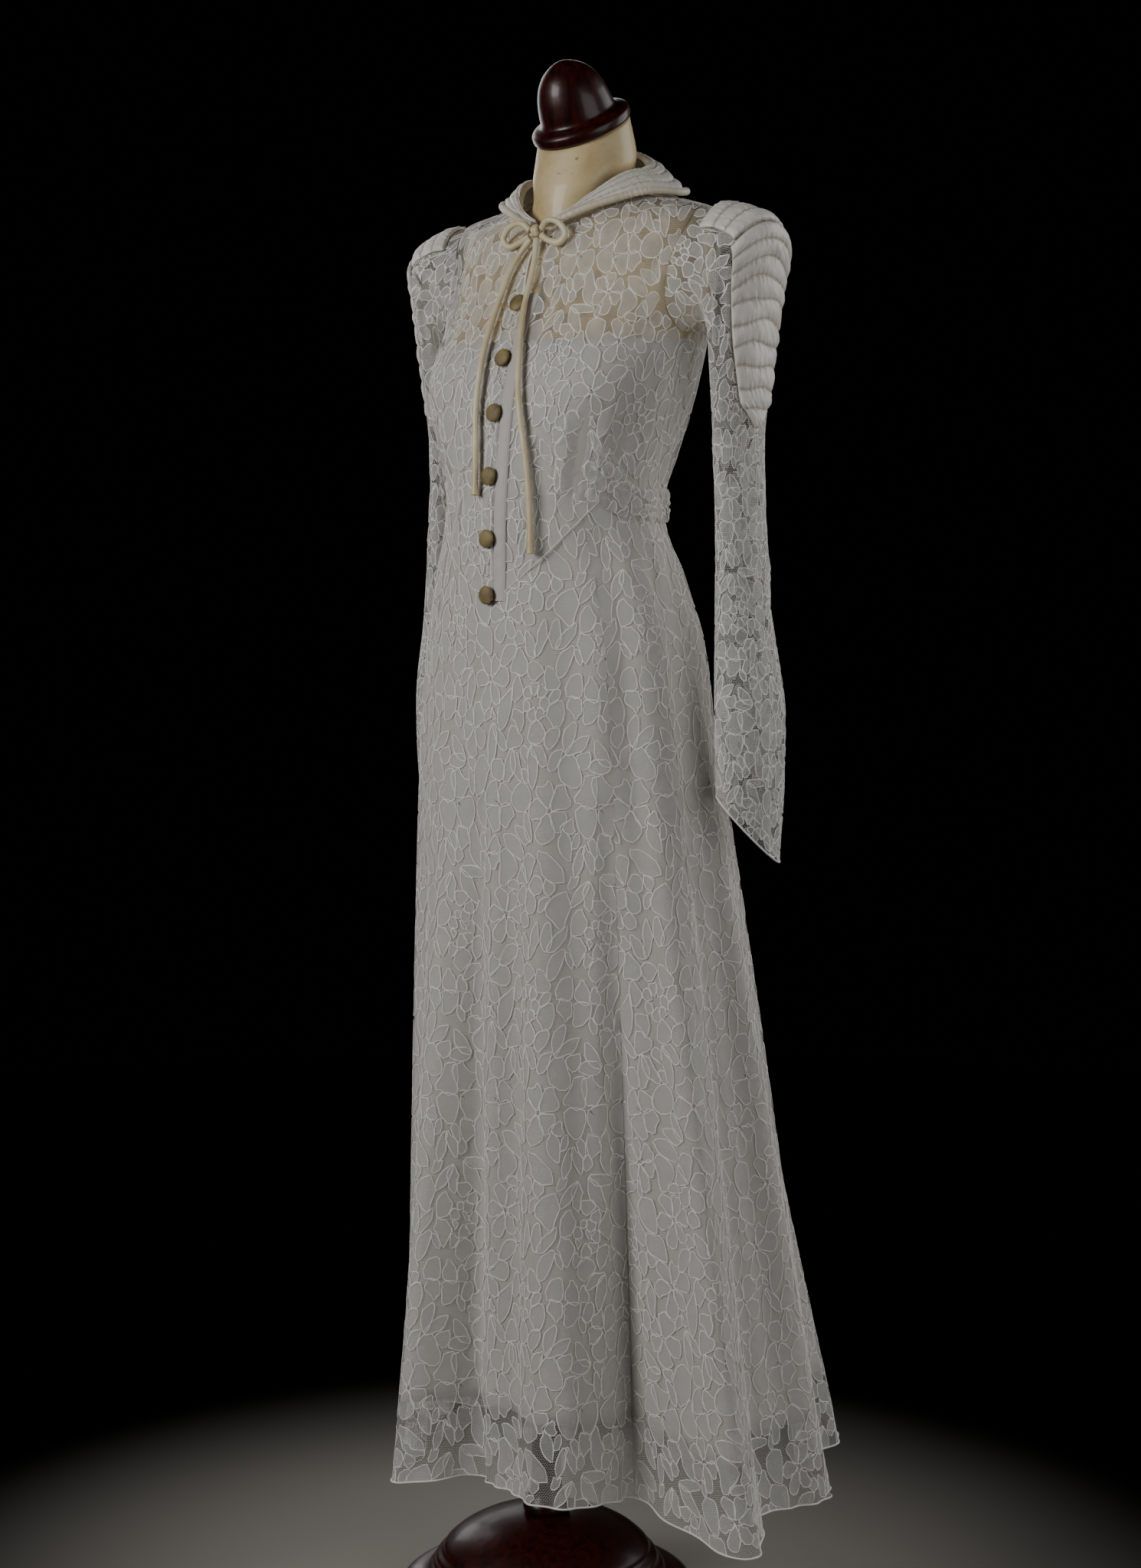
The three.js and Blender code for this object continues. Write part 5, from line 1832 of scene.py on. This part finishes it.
@dataclass
class Collar:
    """Quilted satin collar with a puckered cord at its edge; it stands behind and falls to a V in front."""

    figure: Figure
    quilting: Quilting
    finishes: Finishes
    opening: float = 7.0
    ribs: int = 4
    edge_rise: float = 0.35
    clearance: float = 6.5
    neck_gap: float = 4.0
    bulge: float = 7.0
    turn_under: float = 5.0
    under_share: float = 0.7
    wall: float = 2.0
    cord_radius: float = 3.9
    cord_gap: float = 1.2
    cord_steps: int = 640
    cord_sides: int = 12
    fall_rows: int = 53
    under_rows: int = 7
    columns: int = 400
    shape: Array = field(default_factory=lambda: np.array([
        # angle, stand, level of the edge
        [0, 3, 1562],
        [30, 9, 1561],
        [60, 17, 1557],
        [90, 23, 1555],
        [135, 28, 1551],
        [180, 30, 1549],
    ], float))

    def turns(self, inset: float, count: int) -> Array:
        """Angles round the collar from one end to the other, less an inset."""
        turns = np.linspace(self.opening + inset, 360 - self.opening - inset, count)
        return np.where(turns > 180, turns - 360, turns)

    def edge(self, degrees: Array, beyond: float = 0.0) -> Array:
        """Points of the collar's free edge, or beyond it by a distance."""
        level = smooth_rows(self.shape, np.abs(degrees))[..., 2]
        off = self.figure.outward(degrees, level) * self.clearance
        return self.figure.point(degrees, level) + off + self.away(degrees) * beyond

    @staticmethod
    def away(degrees: Array) -> Array:
        """Level directions away from the neck at angles."""
        angle = np.radians(degrees)
        return np.stack([np.sin(angle), -np.cos(angle), np.zeros_like(angle)], -1)

    def point(self, degrees: Array, up: Array) -> Array:
        """Points of the collar: up is 0 at the free edge, 1 at the roll and 2 where it turns under."""
        stand = smooth_rows(self.shape, np.abs(degrees))[..., 1]
        away, lift = self.away(degrees), np.array([0.0, 0.0, 1.0])
        neck = self.figure.point(degrees, self.figure.neckline)
        roll = neck + away * self.neck_gap + lift * stand[..., None]
        drop = np.minimum(self.turn_under, stand)[..., None]
        under = roll - away * self.neck_gap * self.under_share - lift * drop
        fallen, tallest = np.clip(up, 0, 1), self.shape[-1, 1]
        fall = mix(self.edge(degrees), roll, fallen[..., None])
        fall = fall + lift * (self.bulge * np.sin(np.pi * fallen) * stand / tallest)[..., None]
        return mix(fall, under, np.clip(up - 1, 0, 1)[..., None])

    def build(self) -> None:
        """Makes the collar and its cord."""
        ups = np.concatenate([np.linspace(0, 1, self.fall_rows), np.linspace(1, 2, self.under_rows)[1:]])
        degrees = self.turns(0, self.columns)
        base = self.point(*np.meshgrid(degrees, ups))
        wall, rise = self.wall, self.edge_rise
        self.quilting.pad("collar_quilting", base, self.ribs, -wall, wall, ["collar"], ups, rise)
        edge = self.edge(degrees, self.cord_radius + self.cord_gap)
        run = np.linspace(0, run_along(edge)[-1], self.cord_steps)
        twist = np.sin(1.03 * run + 2.1 * np.sin(run / 8.3) + 1.3 * np.sin(run / 3.7))
        pucker = 0.3 * twist * (0.6 + 0.4 * np.sin(run / 13.0)) + 0.2 * np.sin(run / 5.9 + np.sin(run / 31.0))
        path, radius = spaced(edge, self.cord_steps), self.cord_radius + pucker
        look = self.finishes.edging, "quilted_satin"
        cord = tube_piece("collar_edging", path, radius, *look, "collar_cord", sides=self.cord_sides)


# Sewing

@dataclass(frozen=True)
class StitchRow:
    """Stitches set along lines by Geometry Nodes."""

    name: str
    spacing: float
    length: float
    thread: float
    uneven: float = 0.18
    seed: int = 5

    def group(self, material: Material) -> NodeTree:
        """Builds the node tree, with its sizes as named inputs.

        Args:
            material: The thread's finish.

        Returns:
            The tree.
        """
        tree = bpy.data.node_groups.new(self.name, "GeometryNodeTree")
        face = tree.interface
        face.new_socket("Lines", in_out="INPUT", socket_type="NodeSocketGeometry")
        for label in ("Spacing", "Stitch Length", "Thread Width", "Uneven"):
            face.new_socket(label, in_out="INPUT", socket_type="NodeSocketFloat")
        face.new_socket("Seed", in_out="INPUT", socket_type="NodeSocketInt")
        face.new_socket("Stitches", in_out="OUTPUT", socket_type="NodeSocketGeometry")
        given = add_node(tree, "NodeGroupInput").outputs
        curve = add_node(tree, "GeometryNodeMeshToCurve", {"Mesh": given["Lines"]}).outputs["Curve"]
        spacing = {"Curve": curve, "Length": given["Spacing"]}
        places = add_node(tree, "GeometryNodeCurveToPoints", spacing, mode="LENGTH").outputs
        bead = add_node(tree, "GeometryNodeMeshUVSphere", {"Segments": 5, "Rings": 3, "Radius": 0.5})
        width = given["Thread Width"]
        size = add_node(tree, "ShaderNodeCombineXYZ", {"X": width, "Y": width, "Z": given["Stitch Length"]})
        least, most = (
            add_node(tree, "ShaderNodeMath", {0: 1.0, 1: given["Uneven"]}, operation=way).outputs[0]
            for way in ("SUBTRACT", "ADD")
        )
        limits = {2: least, 3: most, "Seed": given["Seed"]}
        vary = add_node(tree, "FunctionNodeRandomValue", limits, data_type="FLOAT").outputs[1]
        sizes = {0: size.outputs["Vector"], "Scale": vary}
        scale = add_node(tree, "ShaderNodeVectorMath", sizes, operation="SCALE")
        sewn = add_node(tree, "GeometryNodeInstanceOnPoints", {
            "Points": places["Points"],
            "Instance": bead.outputs["Mesh"],
            "Rotation": places["Rotation"],
            "Scale": scale.outputs["Vector"],
        })
        real = add_node(tree, "GeometryNodeRealizeInstances", {"Geometry": sewn.outputs["Instances"]})
        soft = add_node(tree, "GeometryNodeSetShadeSmooth", {"Geometry": real.outputs["Geometry"]})
        finish = {"Geometry": soft.outputs[0], "Material": material}
        done = add_node(tree, "GeometryNodeSetMaterial", finish)
        add_node(tree, "NodeGroupOutput", {"Stitches": done.outputs["Geometry"]})
        return tree

    def sew(self, lines: Sequence[Array], material: Material, slot: str) -> Object:
        """Sews the stitches along lines.

        Args:
            lines: Points of each line, in millimetres.
            material: The thread's finish.
            slot: The record's slot for it; not used.

        Returns:
            The stitches as one plain mesh.
        """
        mesh = bpy.data.meshes.new(self.name)
        starts = np.cumsum([0] + [len(line) for line in lines])
        edges = [(a + k, a + k + 1) for a, line in zip(starts, lines) for k in range(len(line) - 1)]
        mesh.from_pydata((np.concatenate(lines) * MM).tolist(), edges, [])
        made = bpy.data.objects.new(self.name, mesh)
        bpy.context.scene.collection.objects.link(made)
        modifier = made.modifiers.new("stitches", "NODES")
        modifier.node_group = self.group(material)
        values = {
            "Spacing": self.spacing * MM,
            "Stitch Length": self.length * MM,
            "Thread Width": self.thread * MM,
            "Uneven": self.uneven,
            "Seed": self.seed,
        }
        for item in modifier.node_group.interface.items_tree:
            if item.name in values and item.in_out == "INPUT":
                modifier[item.identifier] = values[item.name]
        graph = bpy.context.evaluated_depsgraph_get()
        sewn = bpy.data.meshes.new_from_object(made.evaluated_get(graph), depsgraph=graph)
        made.modifiers.remove(modifier)
        made.data = sewn
        return dress_piece(made, slot)


@dataclass
class Sewing:
    """The visible sewing: quilting rows, whipped hems and the bound keyhole."""

    figure: Figure
    skirt: Skirt
    bodice: Bodice
    sleeves: Sleeves
    shoulders: Shoulders
    collar: Collar
    finishes: Finishes
    row_lift: float = 4.4
    collar_lift: float = 0.35
    roll: float = 1.0
    binding: float = 1.3
    binding_lift: float = 0.2
    collar_steps: int = 300
    hem_steps: int = 900
    wrist_steps: int = 160

    def quilting_lines(self) -> list[Array]:
        """Stitched rows across both epaulettes and round the collar."""
        lines, collar = [], self.collar
        patch = self.shoulders.epaulette()
        lifted = raised(patch, self.row_lift)
        step = (len(patch) - 1) // self.shoulders.ribs
        for row in range(step, len(patch) - 1, step):
            lines += [lifted[row, 2:-2], lifted[row, 2:-2] * MIRROR]
        degrees = collar.turns(1, self.collar_steps)
        for rib in range(1, collar.ribs):
            row = rib / collar.ribs
            points = collar.point(*np.meshgrid(degrees, np.array([row - 0.01, row, row + 0.01])))
            lines.append(raised(points, self.collar_lift)[1])
        return lines

    def hem_lines(self) -> list[Array]:
        """The edges of the skirt and of both sleeves."""
        around = np.linspace(*self.figure.hem_folds[[0, -1], 0], self.hem_steps)
        hem = self.skirt.surface(*np.meshgrid(around, np.array([-1.0, -0.995])))[0]
        turns = np.linspace(-180, 180, self.wrist_steps)
        rings = self.sleeves.last_ring - np.array([0, 0.02])
        wrist = self.sleeves.surface(*np.meshgrid(turns, rings))[0]
        return [hem, wrist, wrist * MIRROR]

    def keyhole_lines(self) -> list[Array]:
        """Both edges of the slit under the collar."""
        front, numbers = self.bodice.front(), np.arange(len(self.bodice.levels()))
        rows = np.linspace(0, numbers[-1], self.hem_steps)
        levels = np.interp(rows, numbers, self.bodice.levels())
        rows = rows[(levels > self.bodice.keyhole_bottom) & (levels < self.bodice.keyhole_top)]
        edge = front.lift(rows, np.interp(rows, numbers, front.left), self.binding_lift)
        return [edge, edge * MIRROR]

    def build(self) -> None:
        """Sews all rows."""
        thread, cording = self.finishes.thread, self.finishes.cording
        quilting = StitchRow("quilting_stitches", 2.9, 2.3, 0.55)
        quilting.sew(self.quilting_lines(), thread, "quilted_satin")
        hems = self.hem_lines()
        for name, line in zip(("hem_roll", "wrist_roll_left", "wrist_roll_right"), hems):
            tube_piece(name, line, self.roll, cording, "lace")
        StitchRow("hem_whipping", 2.6, 3.2, 1.5, 0.3).sew(hems, cording, "lace")
        for side, line in zip(("left", "right"), self.keyhole_lines()):
            tube_piece(f"keyhole_binding_{side}", line, self.binding, cording, "lace")


@dataclass
class Fastenings:
    """Satin-covered buttons and the rouleau tie at the neck."""

    figure: Figure
    finishes: Finishes
    tie_radius: float = 3.6
    tie_sides: int = 14
    flare: float = 0.3
    flare_length: float = 11.0
    tie_squash: float = 0.82
    knot: tuple[float, float, float] = (0.0, -16.0, 1519.0)
    knot_radius: float = 3.1
    knot_turns: tuple[float, float] = (-0.4, 1.9)
    knot_half: tuple[float, float, float] = (3.6, 3.6, 4.0)
    knot_steps: int = 90
    tail_steps: int = 240
    loop_steps: int = 110
    button_levels: tuple[float, ...] = (1438, 1380, 1322, 1255, 1189, 1129)
    button_stand: float = 3.6
    button_sides: int = 64
    pleats: int = 16
    pleat_rise: float = 0.03
    rim_height: float = 1.6
    rim_reach: float = 2.6
    dome_uneven: float = 0.25
    button_profile: tuple[tuple[float, float], ...] = (
        (0, 0), (6, 0), (8.6, 0.3), (9.7, 1.0), (10, 1.8), (9.6, 2.6), (8.6, 3.3), (6.9, 3.95),
        (4.6, 4.4), (2.3, 4.62), (0, 4.7),
    )
    loop_right: tuple[tuple[float, float, float], ...] = (
        (-8, -16, 1520), (-20, -18, 1528), (-36, -18, 1525), (-46, -17, 1513), (-38, -17, 1504),
        (-22, -17, 1508), (-8.5, -17, 1513),
    )
    loop_left: tuple[tuple[float, float, float], ...] = (
        (8, -16, 1521), (18, -18, 1529), (32, -17, 1526), (41, -16, 1514), (33, -17, 1505),
        (19, -18, 1508), (8.5, -17, 1514),
    )
    tie_lie: float = 7.0
    start_right: tuple[float, float, float] = (-2.5, -22, 1510)
    laid_right: tuple[tuple[float, float], ...] = (
        (-15, 1506), (-23, 1476), (-25, 1452), (-26, 1430), (-26, 1408), (-26, 1386), (-25, 1366),
        (-24, 1345), (-23, 1324), (-21, 1302), (-19, 1280), (-17, 1257), (-16, 1235),
    )
    start_left: tuple[float, float, float] = (5, -21, 1510)
    laid_left: tuple[tuple[float, float], ...] = (
        (8, 1496), (11, 1460), (13, 1434), (19, 1408), (25, 1383), (30, 1359), (35, 1334), (40, 1308),
        (45, 1281), (49, 1254), (52, 1227), (54, 1200), (55, 1173),
    )

    def tail(self, start: tuple[float, float, float], laid: tuple[tuple[float, float], ...]) -> Array:
        """Points along a tail, from the knot and then down the bodice, the centre line off the cloth.

        Args:
            start: Where the tail leaves the knot, in mm.
            laid: Rows of mm across from the middle of the front, and level.

        Returns:
            The points in mm.
        """
        across, level = np.array(laid, float).T
        degrees = np.degrees(across / self.figure.section(level)[..., 4])
        lies = self.figure.point(degrees, level) + self.figure.outward(degrees, level) * self.tie_lie
        return np.concatenate([[start], lies])

    def tie(self) -> None:
        """Makes the tie's tails and loops, and its knot."""
        for name, route, far_end, lay in (
            ("tie_tail_right", self.tail(self.start_right, self.laid_right), "bare", "hanging"),
            ("tie_tail_left", self.tail(self.start_left, self.laid_left), "bare", "hanging"),
            ("tie_loop_right", self.loop_right, "object", "loose"),
            ("tie_loop_left", self.loop_left, "object", "loose"),
        ):
            path = through(route, self.tail_steps if lay == "hanging" else self.loop_steps)
            run = run_along(path)
            crease = 1 + 0.06 * np.sin(run / 4.1) + 0.07 * np.sin(run / 7.7 + 1.1)
            if far_end == "bare":
                crease = crease + self.flare * np.clip(1 - (run[-1] - run) / self.flare_length, 0, 1) ** 2
            piece = tube_piece(
                f"{name}_rouleau",
                path,
                self.tie_radius * crease,
                self.finishes.tie,
                "tie_satin",
                name,
                sides=self.tie_sides,
                squash=self.tie_squash,
                thin_way=(0, -1, 0),
            )
        self._knot()

    def _knot(self) -> None:
        """The knot: two turns of the rouleau round its own ends."""
        width, depth, height = self.knot_half
        turn = np.linspace(*self.knot_turns, self.knot_steps) * 2 * np.pi
        across = np.linspace(-width, width, self.knot_steps)
        path = np.array(self.knot) + np.stack([across, depth * np.cos(turn), height * np.sin(turn)], 1)
        radius = self.knot_radius * (1 + 0.06 * np.sin(turn * 5))
        tie = self.finishes.tie
        tube_piece("tie_knot_turns", path, radius, tie, "tie_satin", "tie_knot", sides=self.tie_sides)

    def buttons(self) -> Object:
        """Makes the covered buttons as one piece, each pleated at its rim."""
        profile, sides = np.array(self.button_profile), self.button_sides
        reach, height = profile[:, :1], profile[:, 1:]
        turn = 2 * np.pi * np.arange(sides) / sides
        levels = np.array(self.button_levels, float)
        middle = np.zeros_like(levels)
        places, outwards = self.figure.point(middle, levels), self.figure.outward(middle, levels)
        side = np.array([1.0, 0.0, 0.0])
        rim = np.clip(1 - np.abs(height - self.rim_height) / self.rim_reach, 0, 1)
        points, faces = [], []
        for number, (place, outward) in enumerate(zip(places, outwards)):
            up = np.cross(outward, side)
            radius = reach * (1 + self.pleat_rise * rim * np.sin(self.pleats * turn + number))
            dome = height + self.dome_uneven * np.sin(turn * 2 + number) * (reach / 10) * (height / 5.4)
            spoke = np.cos(turn)[:, None] * side + np.sin(turn)[:, None] * up
            start = place + outward * self.button_stand
            ring = start + radius[..., None] * spoke + dome[..., None] * outward
            points.append(ring.reshape(-1, 3))
            faces.append(grid_faces(len(profile), sides, number * len(profile) * sides, closes_round=True))
        faces = [np.concatenate(faces)]
        piece = make_piece("buttons", np.concatenate(points), faces, [self.finishes.button])
        solids = [f"button_{k + 1}" for k in range(len(levels))]
        return dress_piece(weld(piece), "button_satin", *solids)


# The dress form

@dataclass
class DressForm:
    """Covered torso with a turned cap, on a pole and a turned base."""

    figure: Figure
    finishes: Finishes
    low: float = 1003.0
    shoulder: float = 1480.0
    groove_level: float = 1616.0
    groove_depth: float = 0.5
    groove_half: float = 1.2
    body_rows: int = 44
    neck_rows: int = 56
    columns: int = 120
    cap_place: tuple[float, float, float] = (0.0, 64.0, 1634.0)
    cap_tilt: float = 30.0
    cap_gap: float = 0.6
    corner_cut: float = 0.2
    sides: int = 96
    cap_profile: tuple[tuple[float, float], ...] = (
        (0, 0), (53, 0), (56, 3), (56, 11), (52, 15), (44, 17), (42, 21), (41, 30), (38, 44), (33, 57),
        (25, 68), (15, 75), (7, 78.5), (0, 79.5),
    )
    pole_profile: tuple[tuple[float, float], ...] = (
        (0, 96.4), (26, 96.4), (27, 104), (20, 116), (16, 130), (16, 960), (22, 972), (22, 999), (0, 999),
    )
    base_profile: tuple[tuple[float, float], ...] = (
        (0, 0), (158, 0), (165, 5), (165, 14), (156, 20), (141, 23), (133, 28), (133, 35), (126, 40),
        (125, 47), (117, 53), (115, 59), (100, 72), (78, 84), (52, 92), (30, 96), (0, 96),
    )

    def torso(self) -> Object:
        """The smooth torso and neck."""
        figure = self.figure
        below = np.linspace(self.low, self.shoulder, self.body_rows)[:-1]
        levels = np.concatenate([below, np.linspace(self.shoulder, figure.neck_top, self.neck_rows)])
        turn, level = np.meshgrid(np.linspace(0, 360, self.columns, endpoint=False), levels)
        points = figure.point(turn, level)
        inset = figure.section(level)[..., 7]
        groove = self.groove_depth * np.exp(-(((level - self.groove_level) / self.groove_half) ** 2))
        points = raised(points, -(inset + groove), closes_round=True)
        ends = np.stack([points[0].mean(0), points[-1].mean(0)])
        count = len(levels) * self.columns
        k = np.arange(self.columns)
        after = (k + 1) % self.columns
        top = count - self.columns
        caps = np.concatenate([
            np.stack([after, k, np.full(self.columns, count)], 1),
            np.stack([top + k, top + after, np.full(self.columns, count + 1)], 1),
        ])
        faces = [grid_faces(len(levels), self.columns, closes_round=True), caps]
        corners = np.concatenate([points.reshape(-1, 3), ends])
        torso = make_piece("torso", corners, faces, [self.finishes.parchment])
        return dress_piece(torso, "form_cover", "form_torso")

    def turned(self, name: str, profile: Sequence[Sequence[float]], node: str, tilt: float = 0.0) -> Object:
        """A lathe-turned piece with its corners eased.

        Args:
            name: The piece's name.
            profile: Radius and height of its corners.
            node: The solid that it stands for.
            tilt: Lean towards the front in degrees, for the cap only.

        Returns:
            The piece.
        """
        line = np.array(profile, float)
        for _ in range(2):
            cuts = [mix(line[:-1], line[1:], share) for share in (self.corner_cut, 1 - self.corner_cut)]
            line = np.concatenate([line[:1], np.stack(cuts, 1).reshape(-1, 2)[1:-1], line[-1:]])
        turn = 2 * np.pi * np.arange(self.sides) / self.sides
        radius, height = line[:, :1], line[:, 1:]
        points = np.stack([radius * np.cos(turn), radius * np.sin(turn), height + 0 * turn], -1)
        if tilt:
            c, s = math.cos(math.radians(tilt)), math.sin(math.radians(tilt))
            points = (points + np.array([0, 0, self.cap_gap])) @ np.array([[1, 0, 0], [0, c, s], [0, -s, c]])
            points = points + np.array(self.cap_place)
        faces = grid_faces(len(line), self.sides, closes_round=True)
        piece = make_piece(name, points.reshape(-1, 3), [faces], [self.finishes.mahogany])
        return dress_piece(weld(piece), "mahogany", node)

    def build(self) -> None:
        """Makes the torso, cap, pole and base."""
        self.torso()
        self.turned("cap", self.cap_profile, "form_cap", self.cap_tilt)
        self.turned("pole", self.pole_profile, "stand_pole")
        self.turned("base", self.base_profile, "stand_base")


# Studio

@dataclass(frozen=True)
class Lamp:
    """A soft square light that faces the dress."""

    name: str
    azimuth: float
    height: float
    distance: float
    size: float
    power: float
    aim: float = 0.95


@dataclass
class Studio:
    """Camera at the photograph's angle, a pale floor painted dark away from the stand so that it reads as a
    pool of light, and soft lamps.
    """

    azimuth: float = 40.0
    pitch: float = 5.34
    distance: float = 3.0
    sideways: float = 0.0269
    eye_height: float = 1.2
    lens: float = 62.77
    sensor: float = 36.0
    floor_radius: float = 3.2
    floor_sides: int = 96
    # The floor keeps its pale colour round the stand and is painted dark further off, as a pool of light
    # fading out, between these distances in metres.
    painted_dark_fade: tuple[float, float] = (0.1, 0.85)
    floor_pale: str = "9a968f"
    painted_floor_dark: str = "010101"
    surround: float = 0.0005
    lamps: tuple[Lamp, ...] = (
        Lamp("key", -19, 2.1, 3.0, 1.4, 67),
        Lamp("fill", 84, 1.5, 3.2, 2.2, 31),
        Lamp("back_left", 150, 2.2, 3.4, 2.4, 42),
        Lamp("back_right", 235, 2.0, 3.4, 2.4, 40),
    )

    def camera(self) -> None:
        """Sets the camera where the photograph was taken from."""
        data = bpy.data.cameras.new("camera")
        data.lens = self.lens
        data.sensor_width = self.sensor
        turn = math.radians(self.azimuth)
        back = Vector((math.sin(turn), -math.cos(turn), 0))
        right = Vector((math.cos(turn), math.sin(turn), 0))
        made = bpy.data.objects.new("camera", data)
        made.location = back * self.distance + right * self.sideways + Vector((0, 0, self.eye_height))
        made.rotation_euler = (math.radians(90 - self.pitch), 0, turn)
        bpy.context.scene.collection.objects.link(made)
        bpy.context.scene.camera = made

    def floor(self) -> None:
        """Lays a floor, pale round the stand and painted dark further off, as a pool of light that fades."""
        material, tree, surface = new_material("studio_floor")
        place = add_node(tree, "ShaderNodeTexCoord").outputs["Object"]
        far = add_node(tree, "ShaderNodeVectorMath", {0: place}, operation="LENGTH").outputs["Value"]
        near, dark = self.painted_dark_fade
        fade = {"Value": far, "From Min": near, "From Max": dark}
        share = add_node(tree, "ShaderNodeMapRange", fade, interpolation_type="SMOOTHSTEP").outputs["Result"]
        colours = {"Factor": share, "A": linear(self.floor_pale), "B": linear(self.painted_floor_dark)}
        tint = add_node(tree, "ShaderNodeMix", colours, data_type="RGBA").outputs["Result"]
        feed(tree, surface, {"Base Color": tint, "Roughness": 1.0, "Specular IOR Level": 0.0})
        sides = self.floor_sides
        k = np.arange(sides)
        turn = 2 * np.pi * k / sides
        rim = np.stack([np.cos(turn), np.sin(turn), 0 * turn], 1) * self.floor_radius / MM
        points = np.concatenate([rim - np.array([0, 0, 1.0]), [[0, 0, -1.0]]])
        faces = np.stack([k, (k + 1) % sides, np.full(sides, sides)], 1)
        make_piece("floor", points, [faces], [material])

    def lights(self) -> None:
        """Sets the lamps and a faint even surround."""
        world = bpy.data.worlds.new("surround")
        world.use_nodes = True
        world.node_tree.nodes["Background"].inputs["Color"].default_value = (self.surround,) * 3 + (1.0,)
        bpy.context.scene.world = world
        for lamp in self.lamps:
            data = bpy.data.lights.new(lamp.name, "AREA")
            data.energy = lamp.power
            data.size = lamp.size
            turn = math.radians(lamp.azimuth)
            made = bpy.data.objects.new(lamp.name, data)
            made.location = (math.sin(turn) * lamp.distance, -math.cos(turn) * lamp.distance, lamp.height)
            facing = Vector((0, 0, lamp.aim)) - made.location
            made.rotation_euler = facing.to_track_quat("-Z", "Y").to_euler()
            bpy.context.scene.collection.objects.link(made)

    def build(self) -> None:
        """Sets up the studio."""
        self.camera()
        self.floor()
        self.lights()


def main() -> None:
    """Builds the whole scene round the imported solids."""
    logging.basicConfig(level=logging.INFO, format="%(message)s")
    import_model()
    Studio().build()
    finishes, figure = Finishes(), Figure()
    fastenings = Fastenings(figure, finishes)
    fastenings.tie()
    lace = LaceWork(finishes, LaceRepeat())
    LOG.info("lace repeat: %d motifs", len(lace.repeat.outlines))
    quilting = Quilting(finishes)
    skirt, bodice, sleeves = Skirt(figure, lace), Bodice(figure, lace), Sleeves(figure, lace)
    shoulders, collar = Shoulders(sleeves, quilting), Collar(figure, quilting, finishes)
    slip = Slip(figure, skirt, finishes)
    sewing = Sewing(figure, skirt, bodice, sleeves, shoulders, collar, finishes)
    form = DressForm(figure, finishes)
    for part in (skirt, slip, bodice, sleeves, Trim(figure, lace, finishes), shoulders, collar, sewing, form):
        part.build()
    fastenings.buttons()


if __name__ == "__main__":
    main()
